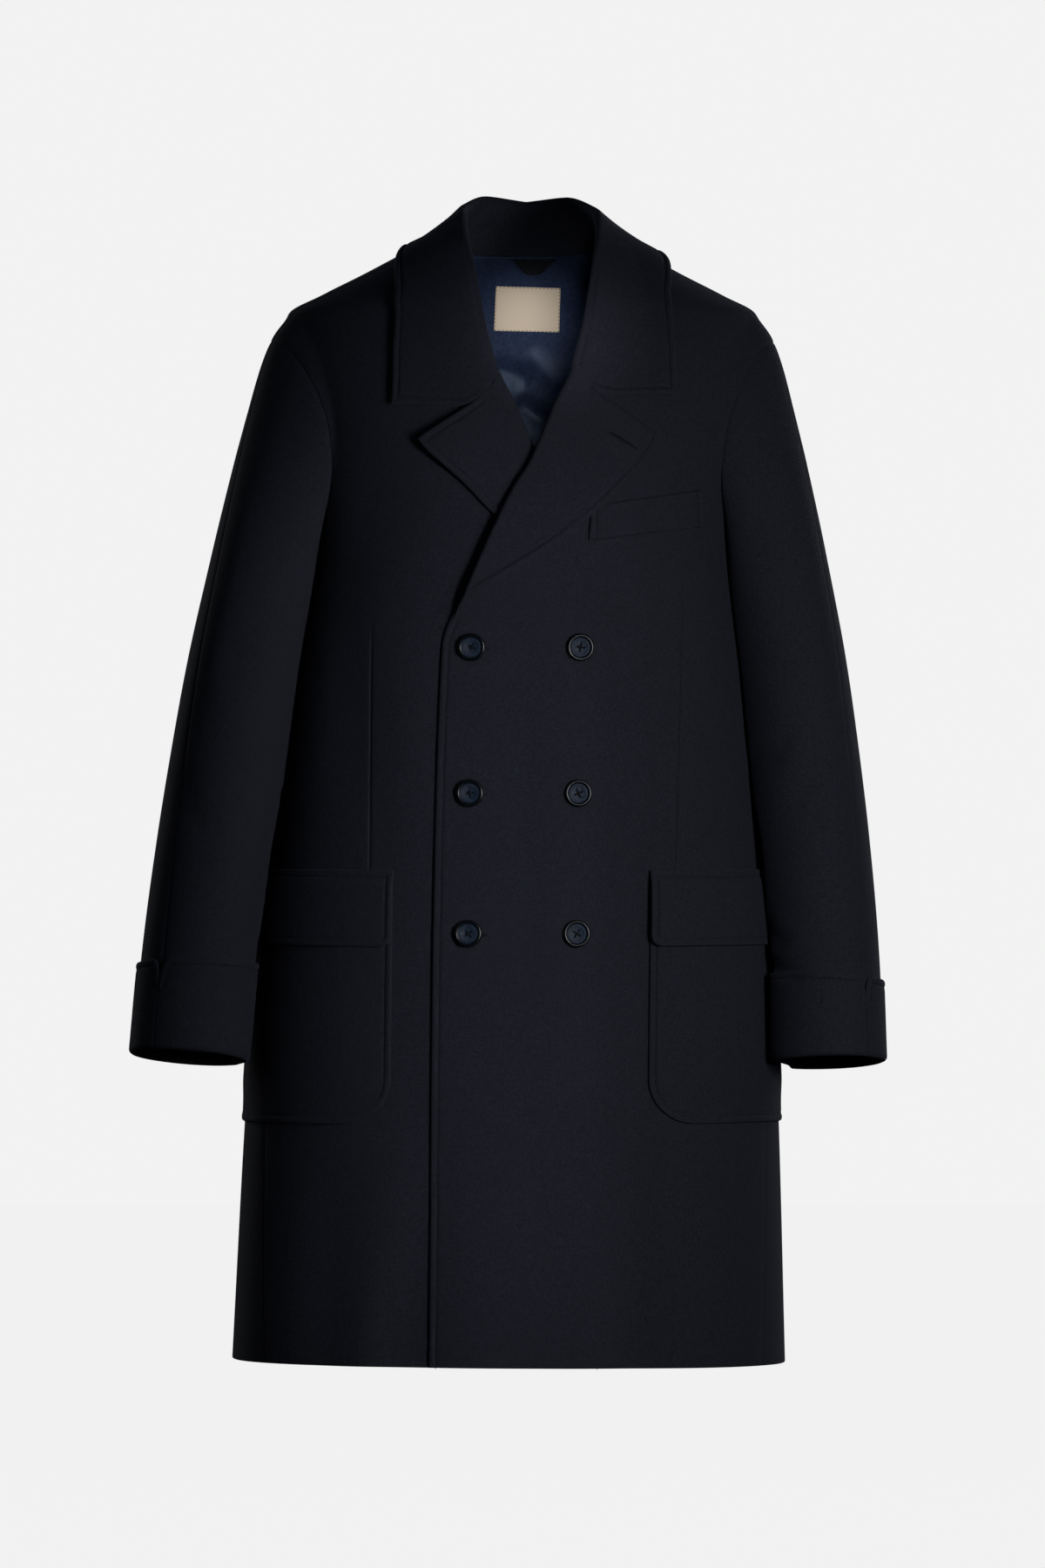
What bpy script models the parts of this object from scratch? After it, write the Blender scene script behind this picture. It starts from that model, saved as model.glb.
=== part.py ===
"""Ulster coat: a long double-breasted overcoat, filled out as worn, hollow and with nobody in it.

Sizes below are millimetres; the meshes are made in metres. +Z is up, the front faces -Y and the
wearer's left is +X. The origin is the middle of the neck opening, level with the back neck seam.
Every cloth piece is a surface laid on one body form and given its wall by Solidify. A place on the
form is an angle (0 at the wearer's side, -90 at the centre front, +90 at the centre back) and a
height; a place on the front is also given by its distance from the centre line.
"""

import bpy
import numpy as np
from mathutils import Matrix, Vector

MM = 0.001

# Cloth and making-up
CLOTH = 2.4             # coating, one layer
COLLAR_CLOTH = 3.0      # collar: coating, canvas and under collar
LINING_CLOTH = 0.8
LINING_GAP = 2.9        # space between lining and back
SEAM = 0.8              # space between two pieces along a seam
LAY = 0.9               # space between a piece and the panel it lies on
HEM = -991.0            # height of the hem
LEAN = 12.5             # sideways lean of the centre line between shoulder and hem
NECK_SHIFT = 5.7        # the neck sits this far towards the wearer's left
NECK_TILT = 4.3         # and its left front is this much higher
HEM_TILT = 2.0          # the hem is this much lower at the left side, and higher at the right

# Body form: height, half width, front depth, back depth, squareness
SECTIONS = np.array([
    (-997, 247.8, 160, 148, 2.30),
    (-741, 237.3, 154, 140, 2.30),
    (-568, 225.0, 148, 132, 2.30),
    (-384, 205.0, 145, 124, 2.30),
    (-262, 191.5, 149, 130, 2.28),
    (-150, 204.0, 138, 128, 2.22),
    (-90, 212.0, 122, 120, 2.15),
    (-57, 211.0, 106, 110, 2.10),
    (-38, 179.0, 95, 101, 2.06),
    (-20, 143.5, 81, 90, 2.03),
    (0, 106.0, 62, 73, 2.00),
    (14, 78.0, 42, 54, 2.00),
    (30, 50.0, 22, 34, 2.00),
])

# Soft folds of the skirt: angle, spread of angle, top height, depth at the hem
FOLDS = np.array([
    (-58, 7, -700, -4.0),
    (-125, 8, -660, -4.0),
    (38, 9, -560, -7.0),
    (66, 9, -480, -6.0),
    (115, 9, -520, -6.5),
    (144, 9, -600, -6.0),
])

# Armhole: an oval on the form round the wearer's side
ARM_TOP, ARM_BOTTOM = -57.0, -262.0
ARM_TOP_TURN, ARM_BOTTOM_TURN = -12.0, -8.0
ARM_FRONT, ARM_BACK = 24.4, 36.4
ARM_DEGREE = 2.9        # millimetres round the form in a degree near the armhole
ARM_SEAM = 1.7          # the body is cut back this far from the armhole line
SHOULDER_END = 3.42     # collar station where the shoulder seam meets the neckline
SIDE_SEAM_SLOPE = 14.6 / 521    # the side seam swings forward this many degrees a millimetre

# Front edge and roll line: height, distance from the centre line on the piece's own side
FRONT_EDGE = np.array([(-1000, -78.0), (-640, -78.5), (-520, -77.5), (-355, -73.5), (-335, -72.0)])
ROLL = np.array([
    (-335, -66.0), (-322, -60.5), (-288, -48.0), (-238, -29.0), (-213, -17.5), (-192, -5.0),
    (-166, 5.5), (-141, 16.0), (-112, 31.0), (-100, 34.5),
])
BREAK = -318.0          # lowest height of the turned lapel
ROLL_BACK = 7.0         # the panel stops this far behind the roll
ROLL_GAP = 1.9          # from the panel's edge to the lapel's
ROLL_RADIUS = 3.8       # lapel roll, outer
COLLAR_RADIUS = 4.5     # collar roll, outer
LAPEL_LEVEL = 5.2       # lapel face over the panel at the roll

# Left front over right front
LAP_LIFT = 3.1          # over one layer of cloth
BULK_LIFT = 6.2         # more, where the right lapel lies between

# Collar, one half: roll x, y, z; neck seam angle, height; outer edge angle, height; height by side
COLLAR = np.array([
    (0.0, 78, 50.0, 90, 0.0, 90, -24, 0.0),
    (35.0, 68, 51.5, 62, 2.0, 62, -22, -0.4),
    (51.0, 38, 49.5, 32, 8.0, 30, -12, -0.8),
    (56.5, 2, 38.5, 0, 14.4, 0, -4, -1.4),
    (56.5, -38, 14.0, -44, 6.0, -37, -24, -0.6),
    (52.0, -73, -14.0, -64, -18.0, -56, -60, 1.3),
    (43.0, -111, -66.0, -75.8, -68.0, -56, -101, 3.4),
    (31.0, -130, -112.0, -80, -114.0, -55, -137, 4.3),
])
COLLAR_LIFT = 6.5       # collar edge over the body form
COLLAR_EASE = 1.4       # the fall stands off the panel this much more than LAY
STAND_GAP = 3.0         # from the neck seam to the stand
GORGE_GAP = 4.6         # from the collar's front end down to the lapel's top

# Lapels: height on the roll line, then the edge's distance from the centre line and its height
LAPEL_LEFT = np.array([
    (-312, -38, -302), (-296, -16, -289), (-270, 22, -263), (-238, 52, -238), (-205, 78, -211),
    (-172, 97, -190), (-144, 107, -175), (-119, 111, -163),
])
LAPEL_RIGHT = np.array([
    (-300, -14, -294), (-284, 4, -280), (-262, 21, -260), (-232, 42, -237), (-202, 62, -214),
    (-176, 80, -196), (-150, 94, -182), (-119, 101, -172),
])
GORGE_BOW = -14.0       # droop of the lapel's upper edge
LAPEL_STAND = 6.0       # the right lapel's point stands off the chest this much more

# Sleeve: height, centre from the centre line, centre depth, half width, half depth
SLEEVE = np.array([
    (-740, 285.3, -64.5, 50.9, 54.6),
    (-722, 284.0, -62, 51.0, 55),
    (-640, 278.5, -51, 51.5, 57),
    (-570, 270.5, -42, 53.0, 59),
    (-470, 257.0, -30, 54.0, 63),
    (-370, 241.5, -20, 54.0, 66),
    (-270, 221.0, -14, 54.0, 69),
    (-195, 204.5, -9, 54.0, 69),
    (-125, 189.5, -6, 53.5, 66),
    (-78, 181.0, -5, 49.0, 60),
    (-57, 174.0, -5, 42.0, 54),
])
SLEEVE_SWING = 7.0      # both cuffs hang this far towards the wearer's right
SLEEVE_SEAM = np.array([(0, -2), (0.25, 25), (0.6, 40), (0.85, 50), (1, 52)])
SLEEVE_GAP = 0.6        # half the seam between the sleeve's halves, in degrees
# Cuffs, right and left: height of the mouth, its rise to the outer side, then the turn-back's own two
CUFFS = {-1: (-719.0, 4.0, 83.0, -3.0), 1: (-724.0, 1.0, 75.0, -4.0)}
CUFF_DEGREE = 0.96      # millimetres round the cuff in a degree
CAP_FADE = 0.34         # share of the sleeve over which the armhole's shape fades out
MOUTH_RISE = 7.5        # the mouth's front is this much higher than its middle
NOTCH = (13.0, 23.0)    # cuff notch: half width, depth

# Patch pockets, flaps and chest welt
POCKET_EDGE, POCKET_END = 114.0, 14.0
POCKET_BOTTOM, POCKET_CORNER = -776.0, 40.0
POCKET_LEVELS = (0, 3, 11, 23, 40, 85, 130, 170, 206)    # heights of its rows over its bottom
FLAP_BOTTOM, FLAP_CORNER = -619.0, 9.0
FLAP_LEVELS = (0, 3, 9, 35, 53, 62, 67)     # heights of its rows over its bottom
FLAP_BEND = 57.0        # below this the flap lies over the pocket, above it on the panel
POCKET_EASE = 0.4       # the pocket and the flap stand off a little more than LAY
FLAP_EASE = 0.6
FLAP_OVER = 1.0         # the flap is this much wider than the pocket at each end
WELT_TOP = ((54, -231), (156, -215))
WELT_BOTTOM = ((52, -261), (158, -247))

# Buttons: columns either side of the centre line, heights of the rows, half section (radius, height)
BUTTON_COLUMN = 47.6
BUTTON_ROWS = (-355.0, -484.0, -608.0)
BUTTON_PROFILE = (
    (0, 0), (9.0, 0), (12.3, 1.4), (12.3, 2.8), (11.2, 4.3), (9.3, 4.3), (8.3, 2.9), (0, 2.7),
)

# Inside the neck
LABEL_BOX = (-21.0, 39.0, -64.0, -23.0)    # x from, x to, z from, z to
LOOP_BOX = (-10.0, 30.0, -2.5, -14.0)       # x from, x to, height of its ends, droop
LABEL_CLOTH, LOOP_CLOTH = 0.6, 1.0
LINING_LEVELS = (-260, -217, -175, -132, -90, -70, -56, -42, -29, -18, -8, 1)
LINING_ENDS = np.array([    # height, angle where the lining stops on each side
    (-260, 46), (-190, 48), (-140, 52), (-90, 56), (-50, 54), (-20, 36), (1, 11),
], float)


def smooth(table, column, at):
    """One column of a table at any height, without overshoot."""
    at = np.asarray(at, float)
    spots, values = table[:, 0], table[:, column]
    steps = np.diff(spots)
    rates = np.diff(values) / steps
    same = rates[:-1] * rates[1:] > 0
    total = np.where(same, rates[:-1] + rates[1:], 1.0)
    inner = np.where(same, 2 * rates[:-1] * rates[1:] / total, 0.0)
    slopes = np.concatenate([rates[:1], inner, rates[-1:]])
    i = np.clip(np.searchsorted(spots, at) - 1, 0, len(steps) - 1)
    u = (at - spots[i]) / steps[i]
    ends = (1 + 2 * u) * (1 - u) ** 2 * values[i] + u * u * (3 - 2 * u) * values[i + 1]
    return ends + steps[i] * (u * (1 - u) ** 2 * slopes[i] + u * u * (u - 1) * slopes[i + 1])


def step(low, high, at):
    u = np.clip((np.asarray(at, float) - low) / (high - low), 0, 1)
    return u * u * (3 - 2 * u)


def centre(z):
    return LEAN * (z + 55) / 942


def reach(x, y, z):
    """1 on the body form, less inside it."""
    half, power = smooth(SECTIONS, 1, z), smooth(SECTIONS, 4, z)
    depth = np.where(y < 0, smooth(SECTIONS, 2, z), smooth(SECTIONS, 3, z))
    across = np.abs((x - centre(z)) / half) ** power
    return (across + np.abs(y / depth) ** power) ** (1 / power)


def facing(points):
    """Outward direction of the form."""
    x, y, z = points[..., 0], points[..., 1], points[..., 2]
    d = 0.5
    slope = np.stack([
        reach(x + d, y, z) - reach(x - d, y, z),
        reach(x, y + d, z) - reach(x, y - d, z),
        reach(x, y, z + d) - reach(x, y, z - d),
    ], -1)
    return slope / np.linalg.norm(slope, axis=-1, keepdims=True)


def on_form(side, turn, z, lift=0.0):
    """Points of the form on one side, moved out by lift, with the skirt's folds."""
    turn, z = np.broadcast_arrays(np.radians(turn), np.asarray(z, float))
    half, power = smooth(SECTIONS, 1, z), smooth(SECTIONS, 4, z)
    depth = np.where(np.sin(turn) < 0, smooth(SECTIONS, 2, z), smooth(SECTIONS, 3, z))
    across, along = np.cos(turn), np.sin(turn)
    x = centre(z) + side * half * np.sign(across) * np.abs(across) ** (2 / power)
    y = depth * np.sign(along) * np.abs(along) ** (2 / power)
    points = np.stack([x, y, z], -1)
    round_turn = np.degrees(turn) if side > 0 else 180 - np.degrees(turn)
    round_turn = np.where(round_turn > 180, round_turn - 360, round_turn)
    fold = 0.0
    for at, spread, top, deep in FOLDS:
        fold = fold + deep * np.exp(-((round_turn - at) / spread) ** 2) * step(top, HEM, z)
    points = points + facing(points) * (fold + lift)[..., None]
    points[..., 2] -= HEM_TILT * (x - centre(z)) / half * step(-800, HEM, z)
    return points


def front_turn(side, across, z):
    """Angle of a place on the front given by its distance from the centre line, own side positive."""
    ratio = across / smooth(SECTIONS, 1, z)
    bent = np.sign(ratio) * np.abs(ratio) ** (smooth(SECTIONS, 4, z) / 2)
    return -np.degrees(np.arccos(np.clip(bent, -1, 1)))


def front_lift(side, across, z):
    """How far the front panel's face lies over the form."""
    if side < 0:
        return 0.0 * (np.asarray(across) + z)
    lap = LAP_LIFT * (1 - step(84, 112, across)) * (1 - step(-150, -40, z))
    bulk = BULK_LIFT * step(-340, -300, z) * (1 - step(-150, -70, z)) * (1 - step(60, 130, across))
    return lap + bulk


def on_front(side, across, z, lift=0.0):
    across, z = np.broadcast_arrays(np.asarray(across, float), np.asarray(z, float))
    return on_form(side, front_turn(side, across, z), z, front_lift(side, across, z) + lift)


def front_depth(across, z):
    """How far forward the form lies at a distance from the centre line."""
    ratio = 1 - np.minimum(np.abs(across / smooth(SECTIONS, 1, z)), 1) ** smooth(SECTIONS, 4, z)
    return smooth(SECTIONS, 2, z) * ratio ** (1 / smooth(SECTIONS, 4, z))


def roll_at(side, z):
    """Roll line's distance from the centre line, own side positive."""
    return smooth(ROLL, 1, z) + side * NECK_SHIFT * step(-330, -170, z)


def neck_seam(side, u):
    """Angle and height of the neckline at collar station u, 0 at the centre back."""
    stations = np.column_stack([np.arange(len(COLLAR)), COLLAR])
    turn, z = smooth(stations, 4, u), smooth(stations, 5, u)
    z = z + side * smooth(stations, 8, u)
    spot = on_form(side, turn, z)
    across = side * (spot[..., 0] - centre(z)) + side * NECK_SHIFT * step(2.2, 4.5, u)
    moved = front_turn(side, across, z)
    return np.where(u > 3.4, moved, turn), z


def side_seam_turn(z):
    return ARM_BOTTOM_TURN + SIDE_SEAM_SLOPE * (z - ARM_BOTTOM)


def arm_edge(turn_round, grow=0.0):
    """Angle and height on the armhole; 0 at its top, 90 at the front, 180 at its bottom."""
    a = np.radians(turn_round)
    middle = (ARM_TOP_TURN + ARM_BOTTOM_TURN) / 2
    tilt = (ARM_TOP_TURN - ARM_BOTTOM_TURN) / 2
    spread = np.where(np.sin(a) > 0, ARM_FRONT, ARM_BACK) + grow / ARM_DEGREE
    height = (ARM_TOP + ARM_BOTTOM) / 2 + ((ARM_TOP - ARM_BOTTOM) / 2 + grow) * np.cos(a)
    return middle + tilt * np.cos(a) - spread * np.sin(a), height


def degrees_for(distance, turn, z):
    """The change of angle that moves a point this far round the form."""
    gap = np.linalg.norm(on_form(1, turn + 0.5, z) - on_form(1, turn - 0.5, z), axis=-1)
    return distance / gap


def patch(share, bottom, top, inner, outer):
    """Coons patch: four edge curves of (angle, height) to a grid of the same."""
    s = share[None, :, None]
    v = np.linspace(0, 1, len(inner))[:, None, None]
    ruled = (1 - v) * bottom[None] + v * top[None] + (1 - s) * inner[:, None] + s * outer[:, None]
    low = (1 - s) * bottom[0] + s * bottom[-1]
    high = (1 - s) * top[0] + s * top[-1]
    return ruled - (1 - v) * low - v * high


def push_out(points, clear):
    """Moves points that are nearer than clear to the form out to that height over it."""
    for _ in range(2):
        x, y, z = points[..., 0], points[..., 1], points[..., 2]
        d = 0.5
        slope = np.hypot(reach(x + d, y, z) - reach(x - d, y, z), reach(x, y + d, z) - reach(x, y - d, z))
        slope = np.hypot(slope, reach(x, y, z + d) - reach(x, y, z - d)) / (2 * d)
        short = np.maximum(clear - (reach(x, y, z) - 1) / slope, 0)
        points = points + facing(points) * short[..., None]
    return points


def unit(vector):
    return vector / np.linalg.norm(vector, axis=-1, keepdims=True)


def material(name, colour, roughness):
    made = bpy.data.materials.new(name)
    made.use_nodes = True
    shader = made.node_tree.nodes["Principled BSDF"]
    shader.inputs["Base Color"].default_value = (*colour, 1)
    shader.inputs["Roughness"].default_value = roughness
    return made


def sheet(name, points, thickness, cloth, reverse=False):
    """A grid of points as a cloth wall: the grid is the face that shows, the wall lies behind it."""
    rows, columns = points.shape[:2]
    index = np.arange(rows * columns).reshape(rows, columns)
    corners = (index[:-1, :-1], index[:-1, 1:], index[1:, 1:], index[1:, :-1])
    faces = np.stack([c.ravel() for c in corners], -1)
    if reverse:
        faces = faces[:, ::-1]
    mesh = bpy.data.meshes.new(name)
    mesh.from_pydata((points.reshape(-1, 3) * MM).tolist(), [], faces.tolist())
    mesh.materials.append(cloth)
    made = bpy.data.objects.new(name, mesh)
    COAT.objects.link(made)
    wall = made.modifiers.new("cloth wall", "SOLIDIFY")
    wall.thickness = thickness * MM
    wall.offset = -1
    wall.use_even_offset = True
    return made


for old in list(bpy.data.objects):
    bpy.data.objects.remove(old)
COAT = bpy.data.collections.new("ulster_coat")
bpy.context.scene.collection.children.link(COAT)

wool = material("navy_coating", (0.012, 0.015, 0.025), 0.9)
satin = material("navy_lining", (0.015, 0.02, 0.05), 0.35)
weave = material("label_weave", (0.45, 0.33, 0.2), 0.8)
horn = material("button_horn", (0.015, 0.02, 0.035), 0.3)
SIDES = ((1, "left"), (-1, "right"))

# Fronts and backs: hem to chest in level rows, then a patch up to the shoulder seam
level_rows = np.array([HEM, -920, -850, -780, -710, -640, -570, -500, -430, -375, -335])
chest_row = ARM_BOTTOM - ARM_SEAM
front_rows = np.concatenate([level_rows, [BREAK, -290, chest_row]])
back_rows = np.concatenate([level_rows, [chest_row]])
front_share = np.concatenate([np.linspace(0, 0.4, 6), np.linspace(0.4, 1, 11)[1:]])
back_share = np.linspace(0, 1, 12)
UP = 14
for side, name in SIDES:
    neck_end = np.array(neck_seam(side, SHOULDER_END))
    arm_end = np.array(arm_edge(0.0, ARM_SEAM))

    lower = []
    for z in front_rows:
        edge = smooth(FRONT_EDGE, 1, z) if z <= -335 else roll_at(side, z) + ROLL_BACK
        seam = side_seam_turn(z)
        seam = seam - degrees_for(SEAM / 2, seam, z)
        first = front_turn(side, edge, z)
        turns = first + (seam - first) * front_share
        lower.append(np.column_stack([turns, np.full(len(turns), z)]))
    roll_z = np.linspace(chest_row, COLLAR[-1, 4] + side * NECK_TILT, 24)
    roll_edge = np.column_stack([front_turn(side, roll_at(side, roll_z) + ROLL_BACK, roll_z), roll_z])
    neck_edge = np.column_stack(neck_seam(side, np.linspace(len(COLLAR) - 1, SHOULDER_END, 30)))
    inner = np.concatenate([roll_edge, neck_edge[1:]])
    inner = inner[np.linspace(0, len(inner) - 1, UP).round().astype(int)]
    outer = np.column_stack(arm_edge(np.linspace(180, 0, UP), ARM_SEAM))
    outer[0] = lower[-1][-1]
    top = inner[-1] + (outer[-1] - inner[-1]) * front_share[:, None]
    grid = np.concatenate([np.array(lower), patch(front_share, lower[-1], top, inner, outer)[1:]])
    turn, z = grid[..., 0], grid[..., 1]
    across = side * (on_form(side, turn, z)[..., 0] - centre(z))
    sheet("front_" + name, on_form(side, turn, z, front_lift(side, across, z)), CLOTH, wool, side < 0)

    lower = []
    for z in back_rows:
        seam = side_seam_turn(z)
        seam = seam + degrees_for(SEAM / 2, seam, z)
        middle = 90 - degrees_for(SEAM / 2, 89.0, z)
        turns = middle + (seam - middle) * back_share
        lower.append(np.column_stack([turns, np.full(len(turns), z)]))
    inner_z = np.linspace(chest_row, 0, 9)
    middle_edge = np.column_stack([90 - degrees_for(SEAM / 2, 89.0, inner_z), inner_z])
    neckline = np.column_stack(neck_seam(side, np.linspace(0, SHOULDER_END, 9)))
    inner = np.concatenate([middle_edge, neckline[1:]])
    around = np.concatenate([np.linspace(180, 300, 9), np.linspace(300, 360, 9)[1:]])
    outer = np.column_stack(arm_edge(around, ARM_SEAM))
    outer[0] = lower[-1][-1]
    top = neck_end + (arm_end - neck_end) * back_share[:, None]
    top[:, 0] += degrees_for(SEAM + 0.3, top[:, 0], top[:, 1])
    inner[-1], outer[-1] = top[0], top[-1]
    grid = np.concatenate([np.array(lower), patch(back_share, lower[-1], top, inner, outer)[1:]])
    sheet("back_" + name, on_form(side, grid[..., 0], grid[..., 1]), CLOTH, wool, side > 0)

# Lapels: each section starts at the panel, goes round the roll and lies back over the chest
for side, name in SIDES:
    sections = []
    table = LAPEL_LEFT if side > 0 else LAPEL_RIGHT
    heights = np.linspace(table[0, 0], COLLAR[-1, 2] + side * NECK_TILT - GORGE_GAP, 13)
    table = np.vstack([table[:-1], [heights[-1], *table[-1, 1:]]])
    for z in heights:
        start = np.array([roll_at(side, z), z])
        end_z = smooth(table, 2, z)
        end = np.array([smooth(table, 1, z) + side * NECK_SHIFT * step(-330, -170, end_z), end_z])
        width = np.linalg.norm(end - start)
        bow = GORGE_BOW * step(heights[-4], heights[-1], z)
        bend = np.radians((-90, -45, 0, 45, 90))
        middle = (LAPEL_LEVEL - CLOTH) / 2
        flat = np.linspace(0, 1, 8)[1:] ** 0.9
        along = np.concatenate([
            [ROLL_BACK - ROLL_GAP],
            ROLL_RADIUS * (1 - np.cos(bend)),
            ROLL_RADIUS + (width - ROLL_RADIUS) * flat,
        ])
        stand = LAPEL_STAND * step(-215, -150, z) if side < 0 else 1.4
        over = np.concatenate([
            [-CLOTH],
            middle + ROLL_RADIUS * np.sin(bend),
            LAPEL_LEVEL + stand * step(0, 1, flat),
        ])
        u = along / width
        spot = start + (end - start) * u[:, None]
        spot[:, 1] += 2 * bow * u * (1 - u)
        spot[:3] = np.column_stack([start[0] + along[:3], np.full(3, z)])
        sections.append(on_front(side, spot[:, 0], spot[:, 1], over))
    sheet("lapel_" + name, np.array(sections), CLOTH, wool, side < 0)

# Collar: stand, roll and fall in one, from the right front end round the back to the left
stations = np.column_stack([np.arange(len(COLLAR)), COLLAR])
bend = np.radians((-90, -45, 0, 45, 90))
sections = []
for place in np.linspace(-len(COLLAR) + 1, len(COLLAR) - 1, 29):
    side, u = (1 if place >= 0 else -1), abs(place)
    rise = side * smooth(stations, 8, u)
    roll_z = smooth(stations, 3, u) + rise
    front = step(3.4, 5, u)
    across = smooth(stations, 1, u) + side * NECK_SHIFT
    raised = front_lift(side, across, roll_z) + 1.2
    raised = raised + front_depth(across, roll_z) - front_depth(smooth(stations, 1, u), roll_z - rise)
    roll = np.array([side * across + centre(roll_z), smooth(stations, 2, u) - front * raised, roll_z])
    seam_turn, seam_z = neck_seam(side, u)
    seam_lift = front * front_lift(side, across, seam_z) - CLOTH
    seam = on_form(side, seam_turn, seam_z, seam_lift)
    seam[0] += NECK_SHIFT * (1 - step(2.2, 4.5, u)) * (u < 2.9)
    edge_z = smooth(stations, 7, u) + rise
    edge = on_form(side, smooth(stations, 6, u), edge_z, COLLAR_LIFT)
    edge[0] += NECK_SHIFT
    fall, stand = edge - roll, seam - roll
    down = unit(unit(fall) + unit(stand))
    out = unit(fall) - unit(stand)
    out = unit(out - down * (out @ down))
    seam = seam + unit(roll - seam) * STAND_GAP
    middle = roll + down * COLLAR_RADIUS
    turned = middle + COLLAR_RADIUS * (np.sin(bend)[:, None] * out - np.cos(bend)[:, None] * down)
    droop = np.array([0, 0, -14.0]) * step(6, 7, u)
    size = np.linalg.norm(fall)
    slope = roll - edge
    normal = facing(edge)
    slope = unit(slope - normal * (slope @ normal))
    hold = [turned[-1], turned[-1] + down * size * 0.3 + droop]
    hold += [edge + slope * size * 0.3 + normal * 2, edge]
    t = np.linspace(0, 1, 8)[1:, None]
    leaf = hold[0] * (1 - t) ** 3 + 3 * hold[1] * t * (1 - t) ** 2
    leaf = leaf + 3 * hold[2] * t * t * (1 - t) + hold[3] * t ** 3
    under = front_lift(side, side * (leaf[:, 0] - centre(leaf[:, 2])), leaf[:, 2])
    under = np.where(leaf[:, 1] < 0, under, 0.0)
    leaf = push_out(leaf, under + COLLAR_CLOTH + LAY + COLLAR_EASE)
    stood = seam + (turned[0] - seam) * np.linspace(0, 1, 4)[:-1, None]
    sections.append(np.concatenate([stood, turned, leaf]))
sheet("collar", np.array(sections), COLLAR_CLOTH, wool, True)


def sleeve_points(side, turn_round, share_down):
    """Face of the sleeve: an oval tube down the arm that takes the armhole's shape at its top."""
    a, w = np.broadcast_arrays(np.radians(turn_round), np.asarray(share_down, float))
    start_turn, start_z = arm_edge(np.degrees(a))
    mouth, outer_rise = CUFFS[side][:2]
    end_z = mouth + outer_rise * np.cos(a) + MOUTH_RISE * np.sin(a)

    def tube(z):
        swing = -SLEEVE_SWING * ((z - ARM_TOP) / (mouth - ARM_TOP)) ** 2
        x = side * (smooth(SLEEVE, 1, z) + smooth(SLEEVE, 3, z) * np.cos(a)) + swing
        return np.stack([x + centre(z), smooth(SLEEVE, 2, z) - smooth(SLEEVE, 4, z) * np.sin(a), z], -1)

    start = on_form(side, start_turn, start_z, LAY)
    fade = np.clip(1 - w / CAP_FADE, 0, 1) ** 3
    points = tube(start_z + (end_z - start_z) * w) + (start - tube(start_z)) * fade[..., None]
    z = points[..., 2]
    clear = LAY + 1.6 * step(0, 0.04, w) + 7.8 * step(-470, -545, z) + 4.0 * step(-600, -640, z)
    return push_out(points, clear)


def sleeve_face(side, turn_round, share_down, lift):
    """Sleeve points moved out from the sleeve."""
    d = 0.4
    points = sleeve_points(side, turn_round, share_down)
    across = sleeve_points(side, turn_round + d, share_down)
    across = across - sleeve_points(side, turn_round - d, share_down)
    down = points - sleeve_points(side, turn_round, share_down - 0.01)
    return points + side * unit(np.cross(across, down)) * lift


# Sleeves in two halves, and the cuffs turned back over them
rings = np.array((0, 0.02, 0.05, 0.09, 0.14, 0.2, 0.27, 0.35, 0.44, 0.54, 0.64, 0.74, 0.83, 0.91, 1))
rings = rings[:, None]
halves = (("front", 0.0, 1.0, 9), ("back", 360.0, -1.0, 14))
for side, name in SIDES:
    for half, whole, way, count in halves:
        seam = whole + smooth(SLEEVE_SEAM, 1, rings) + way * SLEEVE_GAP
        under = 180 - way * SLEEVE_GAP
        turns = seam + (under - seam) * np.linspace(0, 1, count + 1)[None]
        made = sleeve_points(side, turns, rings)
        sheet("sleeve_" + half + "_" + name, made, CLOTH, wool, (side < 0) != (way < 0))

        near = np.array((0, 2.5, 6, NOTCH[0])) / CUFF_DEGREE
        seam = whole + smooth(SLEEVE_SEAM, 1, 0.93) + way * SLEEVE_GAP * 1.5
        under = 180 - way * SLEEVE_GAP * 1.5
        turns = seam + way * np.concatenate([near, np.linspace(near[-1], abs(under - seam), count)[1:]])
        dip = np.clip(1 - np.abs(turns - seam) * CUFF_DEGREE / NOTCH[0], 0, 1)
        mouth, _, height, outer_rise = CUFFS[side]
        top = height + outer_rise * np.cos(np.radians(turns)) - NOTCH[1] * (1 - np.sqrt(1 - dip * dip))
        length = arm_edge(turns)[1] - mouth
        down = 1 - (top / length)[None] * np.array((1, 0.85, 0.45, 0))[:, None]
        made = sleeve_face(side, np.broadcast_to(turns, down.shape), down, LAY + CLOTH)
        sheet("cuff_" + half + "_" + name, made, CLOTH, wool, (side < 0) != (way < 0))


def corner(height, radius):
    """How far a rounded corner draws an edge in, at a height over the bottom."""
    up = np.clip(1 - height / radius, 0, 1)
    return radius * (1 - np.sqrt(1 - up * up))


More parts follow.
